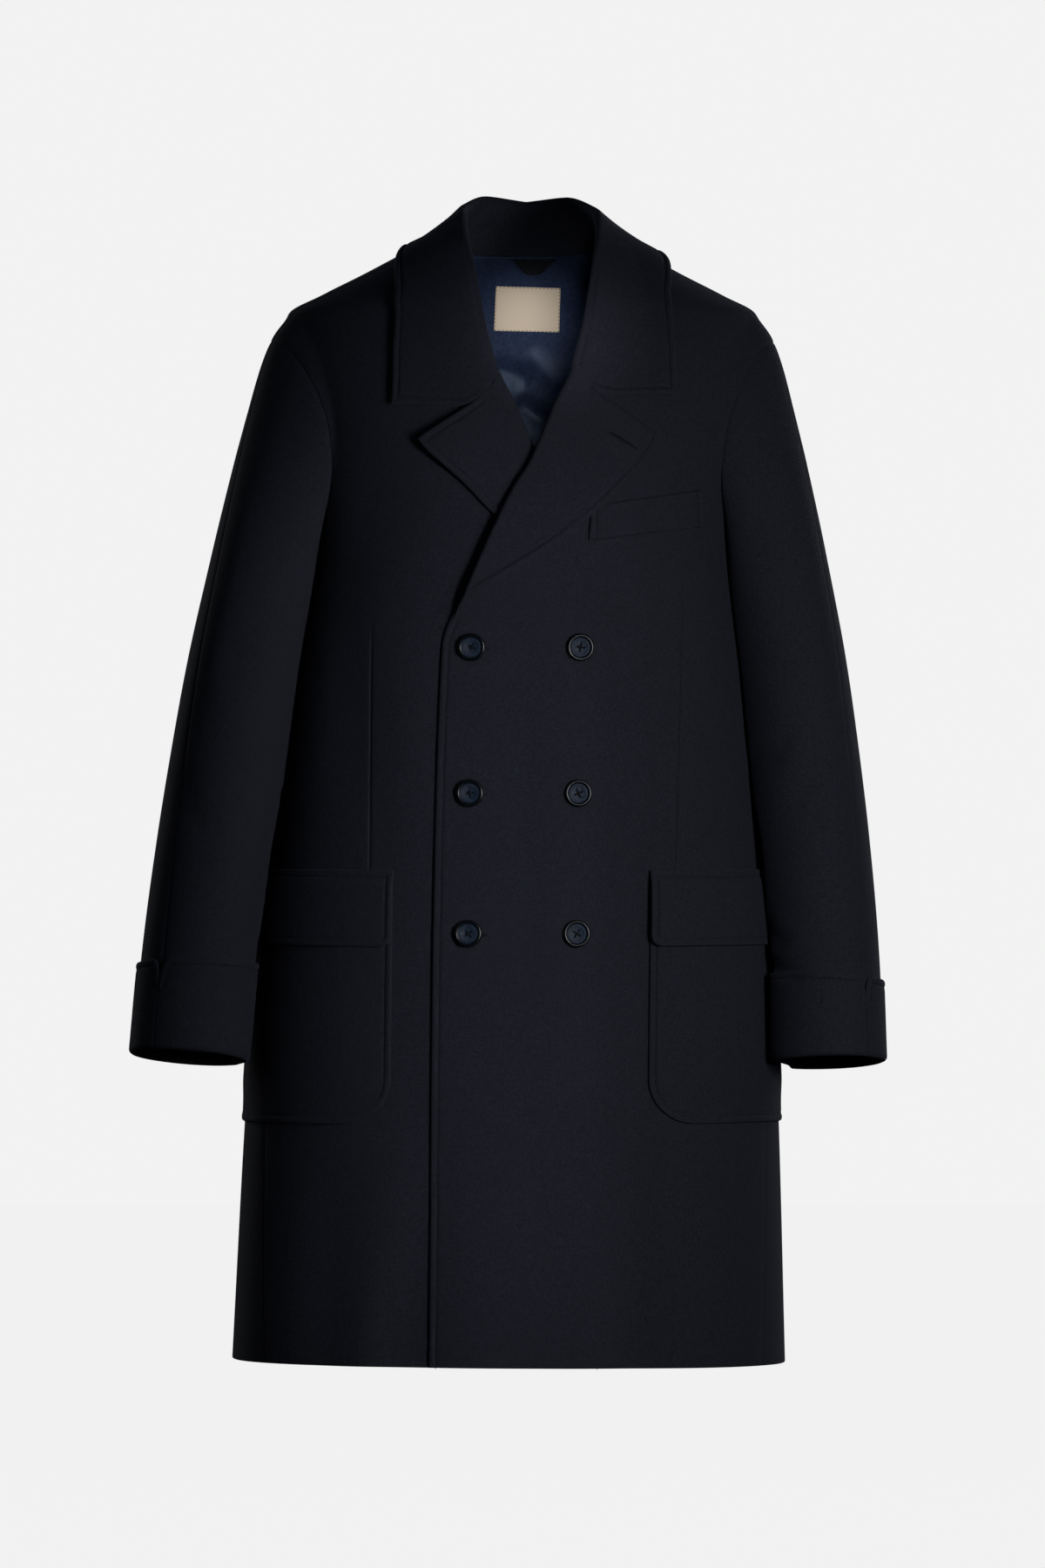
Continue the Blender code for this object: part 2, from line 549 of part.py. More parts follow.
# Patch pockets and flaps, which run round the side onto the back
for side, name in SIDES:
    rows = []
    for up in POCKET_LEVELS:
        z = POCKET_BOTTOM + up
        inset = corner(up, POCKET_CORNER)
        first = front_turn(side, POCKET_EDGE + inset, z)
        last = POCKET_END - degrees_for(inset, POCKET_END, z)
        turns = np.linspace(first, last, 11)
        across = side * (on_form(side, turns, z)[..., 0] - centre(z))
        over = LAY + CLOTH + POCKET_EASE
        rows.append(on_form(side, turns, np.full(11, z), front_lift(side, across, z) + over))
    sheet("pocket_" + name, np.array(rows), CLOTH, wool, side < 0)

    rows = []
    for up in FLAP_LEVELS:
        over = (LAY + CLOTH) * (2 - step(FLAP_BEND - 4, FLAP_BEND + 8, up)) + FLAP_EASE
        z = FLAP_BOTTOM + up
        inset = corner(up, FLAP_CORNER)
        first = front_turn(side, POCKET_EDGE - FLAP_OVER + inset, z)
        last = POCKET_END - degrees_for(inset - FLAP_OVER, POCKET_END, z)
        turns = np.linspace(first, last, 11)
        across = side * (on_form(side, turns, z)[..., 0] - centre(z))
        rows.append(on_form(side, turns, np.full(11, z), front_lift(side, across, z) + over))
    sheet("flap_" + name, np.array(rows), CLOTH, wool, side < 0)

# Chest welt
bottom, top = np.array(WELT_BOTTOM), np.array(WELT_TOP)
share = np.linspace(0, 1, 8)[:, None]
rows = [bottom[0] + (bottom[1] - bottom[0]) * share, top[0] + (top[1] - top[0]) * share]
rows.insert(1, (rows[0] + rows[1]) / 2)
spots = np.array(rows)
sheet("chest_welt", on_front(1, spots[..., 0], spots[..., 1], LAY + 2.0), 2.0, wool)

# Buttons, turned, on the face of the left front
number = 0
for z in BUTTON_ROWS:
    for across in (-BUTTON_COLUMN, BUTTON_COLUMN):
        number += 1
        label = "button_%d" % number
        mesh = bpy.data.meshes.new(label)
        ring = [(r * MM, 0, up * MM) for r, up in BUTTON_PROFILE]
        mesh.from_pydata(ring, [(i, i + 1) for i in range(len(ring) - 1)], [])
        mesh.materials.append(horn)
        made = bpy.data.objects.new(label, mesh)
        COAT.objects.link(made)
        turning = made.modifiers.new("turning", "SCREW")
        turning.steps = turning.render_steps = 20
        turning.use_merge_vertices = True
        turning.merge_threshold = 0.00001
        turning.use_normal_flip = True
        place = on_front(1, across, z)
        out = facing(place)
        place = place + out * LAY
        made.matrix_world = (
            Matrix.Translation(Vector(place * MM))
            @ Vector(out).to_track_quat("Z", "Y").to_matrix().to_4x4()
        )

# Lining, label and hang loop inside the back neck
under = -CLOTH - LINING_GAP
rows = []
for z in LINING_LEVELS:
    share = np.linspace(1, -1, 15)
    turns = 90 + (90 - smooth(LINING_ENDS, 1, z)) * share
    rows.append(on_form(1, turns, np.full(15, z), under - LINING_CLOTH))
sheet("lining_back", np.array(rows), LINING_CLOTH, satin)

left, right, low, high = LABEL_BOX
spots = np.stack(np.meshgrid(np.linspace(left, right, 5), np.linspace(low, high, 3)), -1)
depth = under - LINING_CLOTH - LAY - LABEL_CLOTH
turns = -front_turn(1, spots[..., 0], spots[..., 1])
sheet("label", on_form(1, turns, spots[..., 1], depth), LABEL_CLOTH, weave)

left, right, ends_z, droop = LOOP_BOX
share = np.linspace(-1, 1, 11)
rows = []
for up in (0.0, 0.5, 1.0):
    x = (left + right) / 2 + (right - left) / 2 * share * (0.55 + 0.45 * up)
    z = ends_z + droop * (1 - up) * (1 - 0.35 * share ** 4)
    away = 2.2 + 1.6 * (1 - share ** 2) * (1 - 0.5 * up)
    rows.append(on_form(1, -front_turn(1, x, z), z, under - LINING_CLOTH - away))
sheet("hang_loop", np.array(rows), LOOP_CLOTH, satin)
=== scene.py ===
# %% [markdown]
# # A long double-breasted overcoat
# The coat is an ulster: heavy navy wool, a wide collar, two rows of buttons and turned-back cuffs.
# It is shown filled out and hollow, as if worn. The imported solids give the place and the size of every
# piece. This lesson lays finer cloth over the same form, one piece at a time, and gives each piece its
# finish. Sizes are millimetres, because that is how a tailor thinks of cloth.

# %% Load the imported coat
import math

import bpy
import numpy as np
from mathutils import Matrix, Vector
from mathutils.kdtree import KDTree


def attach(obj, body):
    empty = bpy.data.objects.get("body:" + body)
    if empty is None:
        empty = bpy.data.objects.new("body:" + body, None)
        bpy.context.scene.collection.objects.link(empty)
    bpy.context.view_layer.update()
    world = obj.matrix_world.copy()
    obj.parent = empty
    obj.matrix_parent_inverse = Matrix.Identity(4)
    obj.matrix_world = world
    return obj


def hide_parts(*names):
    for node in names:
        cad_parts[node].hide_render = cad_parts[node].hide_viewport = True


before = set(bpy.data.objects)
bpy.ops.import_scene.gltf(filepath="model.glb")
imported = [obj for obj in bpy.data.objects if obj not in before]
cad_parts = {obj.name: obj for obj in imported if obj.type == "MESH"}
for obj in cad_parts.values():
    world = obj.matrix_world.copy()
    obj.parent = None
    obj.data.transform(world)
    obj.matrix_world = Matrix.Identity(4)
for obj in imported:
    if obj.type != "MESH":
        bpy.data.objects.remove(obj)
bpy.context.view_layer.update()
MM = 0.001
COAT = bpy.data.collections.new("ulster_coat")
bpy.context.scene.collection.children.link(COAT)
print("packed pieces:", len(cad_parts))

# %% [markdown]
# ## The body form
# A tailor cuts a coat for a figure, so all the cloth here is laid on one smooth form. It is a stack of
# ovals, each with a half width, a depth to the front and to the back, and a squareness. A place on it
# is an angle (0 at the wearer's side, -90 at the centre front, +90 at the centre back) and a height.
# A subdivided cage could make such a form too, but with a formula any piece can ask where it lies.

# %% Sections of the form
SECTIONS = np.array([   # height, half width, front depth, back depth, squareness
    (-997, 247.8, 160, 148, 2.30),
    (-741, 237.3, 154, 140, 2.30),
    (-568, 225.0, 148, 132, 2.30),
    (-384, 205.0, 145, 124, 2.30),
    (-262, 191.5, 149, 130, 2.28),
    (-150, 204.0, 138, 128, 2.22),
    (-90, 212.0, 122, 120, 2.15),
    (-57, 211.0, 106, 110, 2.10),
    (-38, 179.0, 95, 101, 2.06),
    (-20, 143.5, 81, 90, 2.03),
    (0, 106.0, 62, 73, 2.00),
    (14, 78.0, 42, 54, 2.00),
    (30, 50.0, 22, 34, 2.00),
])
HALF, FRONT, BACK, SQUARE = 1, 2, 3, 4  # columns of the table
HEM, HEM_TILT, TILT_FROM = -991.0, 2.0, -800
LEAN, LEAN_FROM, LEAN_OVER = 12.5, -55, 942     # sideways lean of the centre line, down from the shoulder
PROBE = 0.5             # half of the step that a slope is measured over
CHEST = -150.0          # height of the chest
print("form sections:", len(SECTIONS))


# %% Ask the form where a place lies
def smooth(table, column, at):
    """One column of a table at any height, without overshoot."""
    at = np.asarray(at, float)
    spots, values = table[:, 0], table[:, column]
    steps = np.diff(spots)
    rates = np.diff(values) / steps
    same = rates[:-1] * rates[1:] > 0
    total = np.where(same, rates[:-1] + rates[1:], 1.0)
    inner = np.where(same, 2 * rates[:-1] * rates[1:] / total, 0.0)
    slopes = np.concatenate([rates[:1], inner, rates[-1:]])
    i = np.clip(np.searchsorted(spots, at) - 1, 0, len(steps) - 1)
    u = (at - spots[i]) / steps[i]
    ends = (1 + 2 * u) * (1 - u) ** 2 * values[i] + u * u * (3 - 2 * u) * values[i + 1]
    return ends + steps[i] * (u * (1 - u) ** 2 * slopes[i] + u * u * (u - 1) * slopes[i + 1])


def step(low, high, at):
    u = np.clip((np.asarray(at, float) - low) / (high - low), 0, 1)
    return u * u * (3 - 2 * u)


def hump(away, width):
    """A soft bump, 1 in its middle."""
    return np.exp(-((away / width) ** 2))


def unit(vector):
    return vector / np.linalg.norm(vector, axis=-1, keepdims=True)


def centre(z):
    return LEAN * (z - LEAN_FROM) / LEAN_OVER


def reach(x, y, z):
    """1 on the body form, less inside it."""
    half, power = smooth(SECTIONS, HALF, z), smooth(SECTIONS, SQUARE, z)
    depth = np.where(y < 0, smooth(SECTIONS, FRONT, z), smooth(SECTIONS, BACK, z))
    across = np.abs((x - centre(z)) / half) ** power
    return (across + np.abs(y / depth) ** power) ** (1 / power)


def slope_of(points):
    """How reach changes along x, y and z, over two steps of PROBE."""
    x, y, z = points[..., 0], points[..., 1], points[..., 2]
    d = PROBE
    return np.stack([
        reach(x + d, y, z) - reach(x - d, y, z),
        reach(x, y + d, z) - reach(x, y - d, z),
        reach(x, y, z + d) - reach(x, y, z - d),
    ], -1)


def facing(points):
    """Outward direction of the form."""
    return unit(slope_of(points))


def push_out(points, clear):
    """Moves points that are nearer than clear to the form out to that height over it."""
    for _ in range(2):
        slope = slope_of(points)
        steep = np.linalg.norm(slope, axis=-1) / (2 * PROBE)
        over = (reach(points[..., 0], points[..., 1], points[..., 2]) - 1) / steep
        points = points + unit(slope) * np.maximum(clear - over, 0)[..., None]
    return points


print("half width at the chest:", float(smooth(SECTIONS, HALF, CHEST)))

# %% [markdown]
# ## Folds and creases
# Heavy wool hangs in a few long, shallow folds. They are listed in two short tables: the folds
# of the skirt, which deepen to the hem, and single strokes on the front or the back, each a soft trough
# or ridge between two points that fades at both ends. Because the form itself carries them, a pocket
# or a flap that lies on the front follows the same folds. A cloth simulation could drape the panels,
# but it would move the edges that have to stay where they are.

# %% Folds of the skirt and strokes on front and back
FOLDS = np.array([      # angle, spread of angle, top height, depth at the hem
    (-58, 7, -700, -4.0),
    (-125, 8, -660, -4.0),
    (38, 9, -560, -7.0),
    (66, 9, -480, -6.0),
    (115, 9, -520, -6.5),
    (144, 9, -600, -6.0),
])
STROKES = np.array([    # front -1 or back 1, x and z from, x and z to, half width, depth
    (-1, 74, -270, 86, -1120, 36, -6.5),
    (-1, 34, -300, 30, -800, 22, 1.6),
    (-1, 2, -380, 8, -660, 17, -0.9),
    (-1, 150, -250, 148, -560, 26, 3.4),
    (-1, -162, -270, -152, -500, 22, -2.4),
    (-1, -104, -330, -100, -560, 19, 1.4),
    (-1, -118, -190, -160, -310, 24, -2.2),
    (-1, 26, -700, 20, -1120, 26, -1.6),
    (-1, 158, -760, 182, -1120, 34, 3.4),
    (-1, 122, -800, 128, -1120, 21, -1.4),
    (-1, -70, -740, -84, -1120, 24, -3.0),
    (-1, -98, -770, -152, -1080, 20, 2.8),
    (-1, -160, -800, -176, -1080, 20, -2.4),
    (-1, 150, -120, 128, -215, 20, -1.4),
    (1, -92, -110, -58, -330, 26, -2.4),
    (1, 98, -100, 66, -310, 23, -2.7),
    (1, -132, -180, -118, -380, 18, 1.6),
    (1, 140, -190, 124, -350, 20, -1.8),
    (1, -128, -418, -30, -446, 15, -1.5),
    (1, 38, -462, 136, -432, 16, -1.8),
    (1, -60, -500, -70, -1010, 24, 1.8),
    (1, 48, -560, 58, -1010, 20, 2.0),
    (1, -20, -620, -26, -1010, 18, -2.2),
    (1, 120, -640, 132, -1010, 20, -2.6),
])
STROKE_FADE = 45        # depth from the side over which a stroke of the front or the back comes in
print("folds:", len(FOLDS), "strokes:", len(STROKES))


# %% Lay a place on the folded form
def stroke(u, v, u0, v0, u1, v1, width, depth):
    """A soft trough or ridge from one point to another, fading at both ends."""
    du, dv = u1 - u0, v1 - v0
    along = np.clip(((u - u0) * du + (v - v0) * dv) / (du * du + dv * dv), 0, 1)
    away = np.hypot(u - u0 - along * du, v - v0 - along * dv)
    return depth * hump(away, width) * (1 - (2 * along - 1) ** 4)


def drape(points):
    """How far the folds move the cloth out at each point."""
    x, y, z = points[..., 0], points[..., 1], points[..., 2]
    turn = np.degrees(np.arctan2(y, x - centre(z)))
    moved = 0.0 * x
    for at, spread, top, deep in FOLDS:
        moved = moved + deep * hump(turn - at, spread) * step(top, HEM, z)
    for half, *line in STROKES:
        moved = moved + stroke(x - centre(z), z, *line) * step(0, STROKE_FADE, half * y)
    return moved


def on_form(side, turn, z, lift=0.0, hung=True):
    """Points of the form on one side, moved out by lift, with the folds."""
    turn, z = np.broadcast_arrays(np.radians(turn), np.asarray(z, float))
    half, power = smooth(SECTIONS, HALF, z), smooth(SECTIONS, SQUARE, z)
    depth = np.where(np.sin(turn) < 0, smooth(SECTIONS, FRONT, z), smooth(SECTIONS, BACK, z))
    across, along = np.cos(turn), np.sin(turn)
    x = centre(z) + side * half * np.sign(across) * np.abs(across) ** (2 / power)
    y = depth * np.sign(along) * np.abs(along) ** (2 / power)
    points = np.stack([x, y, z], -1)
    out = lift + (drape(points) if hung else 0.0 * x)
    points = points + facing(points) * out[..., None]
    points[..., 2] -= HEM_TILT * (x - centre(z)) / half * step(TILT_FROM, HEM, z)
    return points


print("hem at the left side:", on_form(1, 0.0, HEM).round(1).tolist())

# %% [markdown]
# ## Places on the front
# A tailor marks a front by its distance from the centre line. The left front laps over the right, so it
# lies a little further out, and further still where the right lapel is caught between the two.

# %% Lines of the cut
CLOTH, COLLAR_CLOTH, LINING_CLOTH = 2.4, 3.0, 0.8
LAY = 0.9               # space between a piece and the panel it lies on
NECK_SHIFT, NECK_TILT = 5.7, 4.3
LAP_LIFT, LAP_ACROSS, LAP_TOP = 3.1, (84, 112), (-150, -40)     # the left front over the right
BULK_LIFT, BULK_ACROSS, BULK_TOP = 6.2, (60, 130), (-150, -70)  # the same over the right lapel
BULK_FOOT = (-340, -300)
SHIFT_UP, SHIFT_ROUND = (-330, -170), (2.2, 4.5)    # where the neck's shift comes in: heights, stations
FRONT_STATION = 3.4     # from this collar station on, the neckline lies on the front
FRONT_EDGE = np.array([(-1000, -78.0), (-640, -78.5), (-520, -77.5), (-355, -73.5), (-335, -70.0)])
ROLL = np.array([
    (-335, -66.0), (-322, -60.5), (-288, -48.0), (-238, -29.0), (-213, -17.5), (-192, -5.0),
    (-166, 5.5), (-141, 16.0), (-112, 31.0), (-100, 34.5),
])
ROLL_BACK, ROLL_GAP, ROLL_RADIUS = 7.0, 1.9, 3.8
LAPEL_LEVEL = 5.2       # lapel face over the panel at the roll
ARM_TOP, ARM_BOTTOM = -57.0, -262.0
ARM_TOP_TURN, ARM_BOTTOM_TURN = -12.0, -8.0
ARM_FRONT, ARM_BACK, ARM_DEGREE = {1: 21.4, -1: 24.4}, 36.4, 2.9
SHOULDER_END = 3.42     # collar station where the shoulder seam meets the neckline
SIDE_SEAM_SLOPE = 14.6 / 521
COLLAR = np.array([     # roll x, y, z; neck seam angle, height; outer edge angle, height; height by side
    (0.0, 78, 49.5, 90, 0.0, 90, -24, 0.0),
    (35.0, 68, 53.5, 62, 2.0, 62, -22, -0.4),
    (51.0, 38, 45.5, 32, 8.0, 30, -12, -0.8),
    (57.5, 2, 36.0, 0, 14.4, 0, -4, -1.4),
    (56.5, -38, 14.0, -44, 6.0, -37, -24, -0.6),
    (52.0, -73, -14.0, -64, -18.0, -56, -60, 1.3),
    (43.0, -111, -66.0, -75.8, -68.0, -56, -101, 3.4),
    (31.0, -130, -112.0, -80, -114.0, -55, -137, 4.3),
])
STATIONS = np.column_stack([np.arange(len(COLLAR)), COLLAR])
ROLL_X, ROLL_Y, ROLL_Z, SEAM_TURN, SEAM_Z, EDGE_TURN, EDGE_Z, SIDE_Z = range(1, 9)  # columns of STATIONS
print("collar stations:", len(STATIONS))


# %% Find a place on the front
def from_centre(side, x, z):
    """Distance from the centre line, own side positive."""
    return side * (x - centre(z))


def front_turn(across, z):
    """Angle of a place on the front given by its distance from the centre line, own side positive."""
    ratio = across / smooth(SECTIONS, HALF, z)
    bent = np.sign(ratio) * np.abs(ratio) ** (smooth(SECTIONS, SQUARE, z) / 2)
    return -np.degrees(np.arccos(np.clip(bent, -1, 1)))


def front_lift(side, across, z):
    """How far the front panel's face lies over the form."""
    if side < 0:
        return 0.0 * (np.asarray(across) + z)
    lap = LAP_LIFT * (1 - step(*LAP_ACROSS, across)) * (1 - step(*LAP_TOP, z))
    bulk = BULK_LIFT * step(*BULK_FOOT, z) * (1 - step(*BULK_TOP, z)) * (1 - step(*BULK_ACROSS, across))
    return lap + bulk


def on_front(side, across, z, lift=0.0):
    across, z = np.broadcast_arrays(np.asarray(across, float), np.asarray(z, float))
    return on_form(side, front_turn(across, z), z, front_lift(side, across, z) + lift)


def front_depth(across, z):
    """How far forward the form lies at a distance from the centre line."""
    ratio = 1 - np.minimum(np.abs(across / smooth(SECTIONS, HALF, z)), 1) ** smooth(SECTIONS, SQUARE, z)
    return smooth(SECTIONS, FRONT, z) * ratio ** (1 / smooth(SECTIONS, SQUARE, z))


def roll_at(side, z):
    """Roll line's distance from the centre line, own side positive."""
    return smooth(ROLL, 1, z) + side * NECK_SHIFT * step(*SHIFT_UP, z)


print("roll line at the chest:", float(roll_at(1, CHEST)))


# %% Find the seams and the armhole
def neck_seam(side, u):
    """Angle and height of the neckline at collar station u, 0 at the centre back."""
    turn, z = smooth(STATIONS, SEAM_TURN, u), smooth(STATIONS, SEAM_Z, u)
    z = z + side * smooth(STATIONS, SIDE_Z, u)
    spot = on_form(side, turn, z, hung=False)
    across = from_centre(side, spot[..., 0], z) + side * NECK_SHIFT * step(*SHIFT_ROUND, u)
    return np.where(u > FRONT_STATION, front_turn(across, z), turn), z


def side_seam_turn(z):
    return ARM_BOTTOM_TURN + SIDE_SEAM_SLOPE * (z - ARM_BOTTOM)


def arm_edge(side, turn_round, grow=0.0):
    """Angle and height on the armhole; 0 at its top, 90 at the front, 180 at its bottom."""
    a = np.radians(turn_round)
    middle = (ARM_TOP_TURN + ARM_BOTTOM_TURN) / 2
    tilt = (ARM_TOP_TURN - ARM_BOTTOM_TURN) / 2
    spread = np.where(np.sin(a) > 0, ARM_FRONT[side], ARM_BACK) + grow / ARM_DEGREE
    height = (ARM_TOP + ARM_BOTTOM) / 2 + ((ARM_TOP - ARM_BOTTOM) / 2 + grow) * np.cos(a)
    return middle + tilt * np.cos(a) - spread * np.sin(a), height


def degrees_for(distance, turn, z):
    """The change of angle that moves a point this far round the form."""
    ahead, behind = on_form(1, turn + 0.5, z, hung=False), on_form(1, turn - 0.5, z, hung=False)
    return distance / np.linalg.norm(ahead - behind, axis=-1)


print("neckline starts at", np.round(neck_seam(1, np.array([0.0, 7.0])), 1).tolist())

# %% [markdown]
# ## From a grid of points to cloth
# Each piece starts as a grid of points on its face. Its lines are moved so that they crowd together
# near an edge, where the fold and the row of stitches need fine steps. Then the grid gets a thickness,
# with rounded rims, as one closed shell. Solidify and Bevel modifiers could do this, but they know
# nothing of a swelled edge: a row of stitches 6 mm in, which sinks, with a soft roll outside it.

# %% Lay the lines of a grid
EDGE_LINES = np.array([0, 0.25, 0.7, 1.3, 2.4, 3.6, 4.8, 5.6, 6.2, 6.8, 7.6, 9.0, 11.0])
SEAM_LINES = np.array([0, 0.25, 0.7, 1.3, 2.6])
MARK_LINES = np.array([-3.6, -1.8, -0.9, -0.4, 0, 0.4, 0.9, 1.8, 3.6])
STITCH_IN = 6.2         # from a swelled edge to its stitches
CROWD = 0.45            # most of a line's length that the set distances at one end may take


def run_along(points, axis):
    """Distance along the lines of a grid."""
    gaps = np.linalg.norm(np.diff(points, axis=axis), axis=-1)
    return np.insert(np.cumsum(gaps, axis=axis), 0, 0.0, axis=axis)


def relaid(points, axis, pitch, near, far, mark=None):
    """Moves the lines of a grid: set distances at both ends and round a mark, even steps between."""
    lines = np.moveaxis(points, axis, 1)
    runs = run_along(lines, 1)
    longest = runs[:, -1].max()
    marks = None if mark is None else np.asarray(mark(lines, runs))
    first = longest if marks is None else marks.max()
    even = np.linspace(0, 1, max(3, round((first - near[-1]) / pitch)))[1:-1]
    rest = np.linspace(0, 1, max(3, round((longest - first) / pitch)))[1:-1]
    made = []
    for i, (line, run) in enumerate(zip(lines, runs)):
        squeeze = min(1.0, CROWD * run[-1] / max(near[-1], far[-1], 1e-6))
        start, stop = near * squeeze, run[-1] - far[::-1] * squeeze
        if marks is None:
            at = [start, start[-1] + (stop[0] - start[-1]) * even, stop]
        else:
            middle = marks[i] + MARK_LINES
            at = [start, start[-1] + (middle[0] - start[-1]) * even, middle]
            at += [middle[-1] + (stop[0] - middle[-1]) * rest, stop]
        at = np.concatenate(at)
        made.append(np.stack([np.interp(at, run, line[:, k]) for k in range(3)], -1))
    return np.moveaxis(np.array(made), 1, axis)


print("lines near a swelled edge:", len(EDGE_LINES))


# %% Take borders and even steps
def border(points, sides, inset=0):
    """Sides of a grid, each a letter and where it starts and stops: l, r are columns, b, t are rows."""
    lines = {"l": points[:, inset], "r": points[:, -1 - inset], "b": points[inset], "t": points[-1 - inset]}
    return [lines[letter][first:last] for letter, first, last in sides]


def all_of(letters):
    return [(letter, None, None) for letter in letters]


def spaced(line, pitch):
    """Points at even steps along a line."""
    return spaced_evenly(line, max(2, round(run_along(line, 0)[-1] / pitch) + 1))


def spaced_evenly(line, count):
    """A set number of points at even steps along a line."""
    run = run_along(line, 0)
    at = np.linspace(0, run[-1], count)
    return np.stack([np.interp(at, run, line[:, k]) for k in range(line.shape[1])], -1)


def tree_of(points):
    tree = KDTree(len(points))
    for i, point in enumerate(points):
        tree.insert(point, i)
    tree.balance()
    return tree


def grid_normals(points, flip):
    out = unit(np.cross(np.gradient(points, axis=1), np.gradient(points, axis=0)))
    return -out if flip else out


print("points on a 10 mm line at 2 mm steps:", len(spaced(np.array([(0.0, 0, 0), (10, 0, 0)]), 2.0)))

# %% Find the edges and their stitches
SWELL, SWELL_AT, SWELL_WIDE = 0.5, 2.7, 2.0     # roll outside the stitches
GROOVE, GROOVE_WIDE = 0.85, 0.9     # the stitched line
SEAM_DIP, SEAM_WIDE, SEAM_ROUND = 0.5, 2.0, 0.75    # cloth drawn in at a seam, and how round its edge is
LIGHTER_EDGE_WIDE = 1.6          # width of the lighter band along a stitched edge
FAR_IN = 16.0           # distance from an edge at which nothing of it shows
BESIDE = 3              # line of a grid that shows the way in from its edge
CORNER_SPARE = 0.3      # how much nearer than its own distance a stitch may come to another edge
SEWN = []               # lines of stitches to be made later: points and normals


def edge_reach(points, lines):
    """Distance from each point to the nearest edge line, as far as it matters."""
    tree = tree_of(np.concatenate([spaced(line, 1.0) for line in lines]))
    away = np.array([tree.find(p)[2] for p in points.reshape(-1, 3)])
    return np.minimum(away, FAR_IN).reshape(points.shape[:-1])


def stitch_path(points, normals, face, sides):
    """Lines of stitches on the face, in from the named sides."""
    flat = face.reshape(-1, 3)
    tree = tree_of(flat)
    edges = border(points, sides)
    guard = tree_of(np.concatenate([spaced(line, 1.0) for line in edges]))
    for edge, beside, out in zip(edges, border(points, sides, BESIDE), border(normals, sides)):
        tangent = unit(np.gradient(edge, axis=0))
        inward = beside - edge
        inward = unit(inward - tangent * (inward * tangent).sum(-1, keepdims=True))
        spots = edge + inward * STITCH_IN
        keep = np.array([guard.find(p)[2] > STITCH_IN - CORNER_SPARE for p in spots])
        found = np.array([flat[tree.find(p)[1]] for p in spots])
        spots = spots + out * ((found - spots) * out).sum(-1, keepdims=True)
        for part in np.split(np.arange(len(keep)), np.where(~keep)[0]):
            part = part[keep[part]]
            if len(part) > 3:
                SEWN.append((spots[part], out[part]))


print("stitches lie", STITCH_IN, "mm in from an edge")


# %% Close a grid into cloth
def shell(node, points, thick, cloth, flip=False, swell=(), relief=0.0, lining=None, soft="lrbt",
          seams=""):
    """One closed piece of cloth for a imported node.

    swell lists its stitched edges, soft names its rounded sides and seams those that are drawn in."""
    normals = grid_normals(points, flip)
    across, up = run_along(points, 1), run_along(points, 0)
    rims = {"l": across, "r": across[:, -1:] - across, "b": up, "t": up[-1:] - up}
    half, sink = thick / 2, 0.0
    for letter, rim in rims.items():
        turn = half if letter in soft else min(half, SEAM_ROUND)
        drop = turn - np.sqrt(np.clip(turn ** 2 - np.clip(turn - rim, 0, turn) ** 2, 0, None))
        sink = np.maximum(sink, np.where(rim < 1e-6, half, drop))
        if letter in seams:
            relief = relief - SEAM_DIP * hump(rim, SEAM_WIDE)
    edge = edge_reach(points, border(points, swell)) if swell else np.full(points.shape[:2], FAR_IN)
    puff = SWELL * hump(edge - SWELL_AT, SWELL_WIDE) - GROOVE * hump(edge - STITCH_IN, GROOVE_WIDE)
    face = points + normals * (relief + puff - sink)[..., None]
    back = points + normals * (relief - thick + sink)[..., None]
    if swell:
        stitch_path(points, normals, face, swell)

    rows, columns = points.shape[:2]
    outer = np.arange(rows * columns).reshape(rows, columns)
    inner = outer.copy()
    inner[1:-1, 1:-1] = rows * columns + np.arange((rows - 2) * (columns - 2)).reshape(rows - 2, columns - 2)
    turns = ((0, 0), (0, 1), (1, 1), (1, 0))
    pick = [(slice(a, rows - 1 + a), slice(b, columns - 1 + b)) for a, b in turns]
    front_faces = np.stack([outer[p].ravel() for p in pick], -1)
    back_faces = np.stack([inner[p].ravel() for p in pick], -1)
    if flip:
        front_faces = front_faces[:, ::-1]
    else:
        back_faces = back_faces[:, ::-1]
    places = np.concatenate([face.reshape(-1, 3), back[1:-1, 1:-1].reshape(-1, 3)]) * MM
    mesh = bpy.data.meshes.new(node + "_cloth")
    mesh.from_pydata(places.tolist(), [], np.concatenate([front_faces, back_faces]).tolist())
    mesh.materials.append(cloth)
    mesh.materials.append(lining or cloth)
    inside = np.concatenate([np.zeros(len(front_faces), int), np.ones(len(back_faces), int)])
    mesh.polygons.foreach_set("material_index", inside)
    mesh.shade_smooth()
    # how near each point lies to a stitched edge, for the lighter band of colour there
    lighter_edge = mesh.attributes.new("lighter_edge", "FLOAT", "POINT")
    edge_nearness = hump(edge, LIGHTER_EDGE_WIDE).ravel()
    lighter_edge.data.foreach_set("value", np.concatenate([edge_nearness, np.zeros(len(places) - len(edge_nearness))]))
    made = bpy.data.objects.new(node + "_cloth", mesh)
    COAT.objects.link(made)
    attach(made, "root")
    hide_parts(node)
    area = sum(p.area for p in mesh.polygons) / 2
    print(f"{node}: {len(mesh.polygons)} faces, {area:.4f} m2 of cloth")
    return made


# %% [markdown]
# ## Finishes
# The coating is a milled wool: its weave is hidden under a short felted nap that scatters light at
# grazing angles. The nap is a node group, because the sewing thread and the cloth both need it, and a
# woven rib is another, which the satin, the label and the hang loop share. Both are made of noise and
# waves in the coat's own space, so they keep their real scale on every piece.

# %% Node helpers
MIX_SOCKETS, MIXED = (0, 6, 7), 2   # a Mix node's sockets for colours: share, first, second, and result


def add(tree, kind, **values):
    """A node with its named inputs and settings."""
    node = tree.nodes.new(kind)
    for key, value in values.items():
        name = key.replace("_", " ").title()
        if name in node.inputs:
            node.inputs[name].default_value = value
        else:
            setattr(node, key, value)
    return node


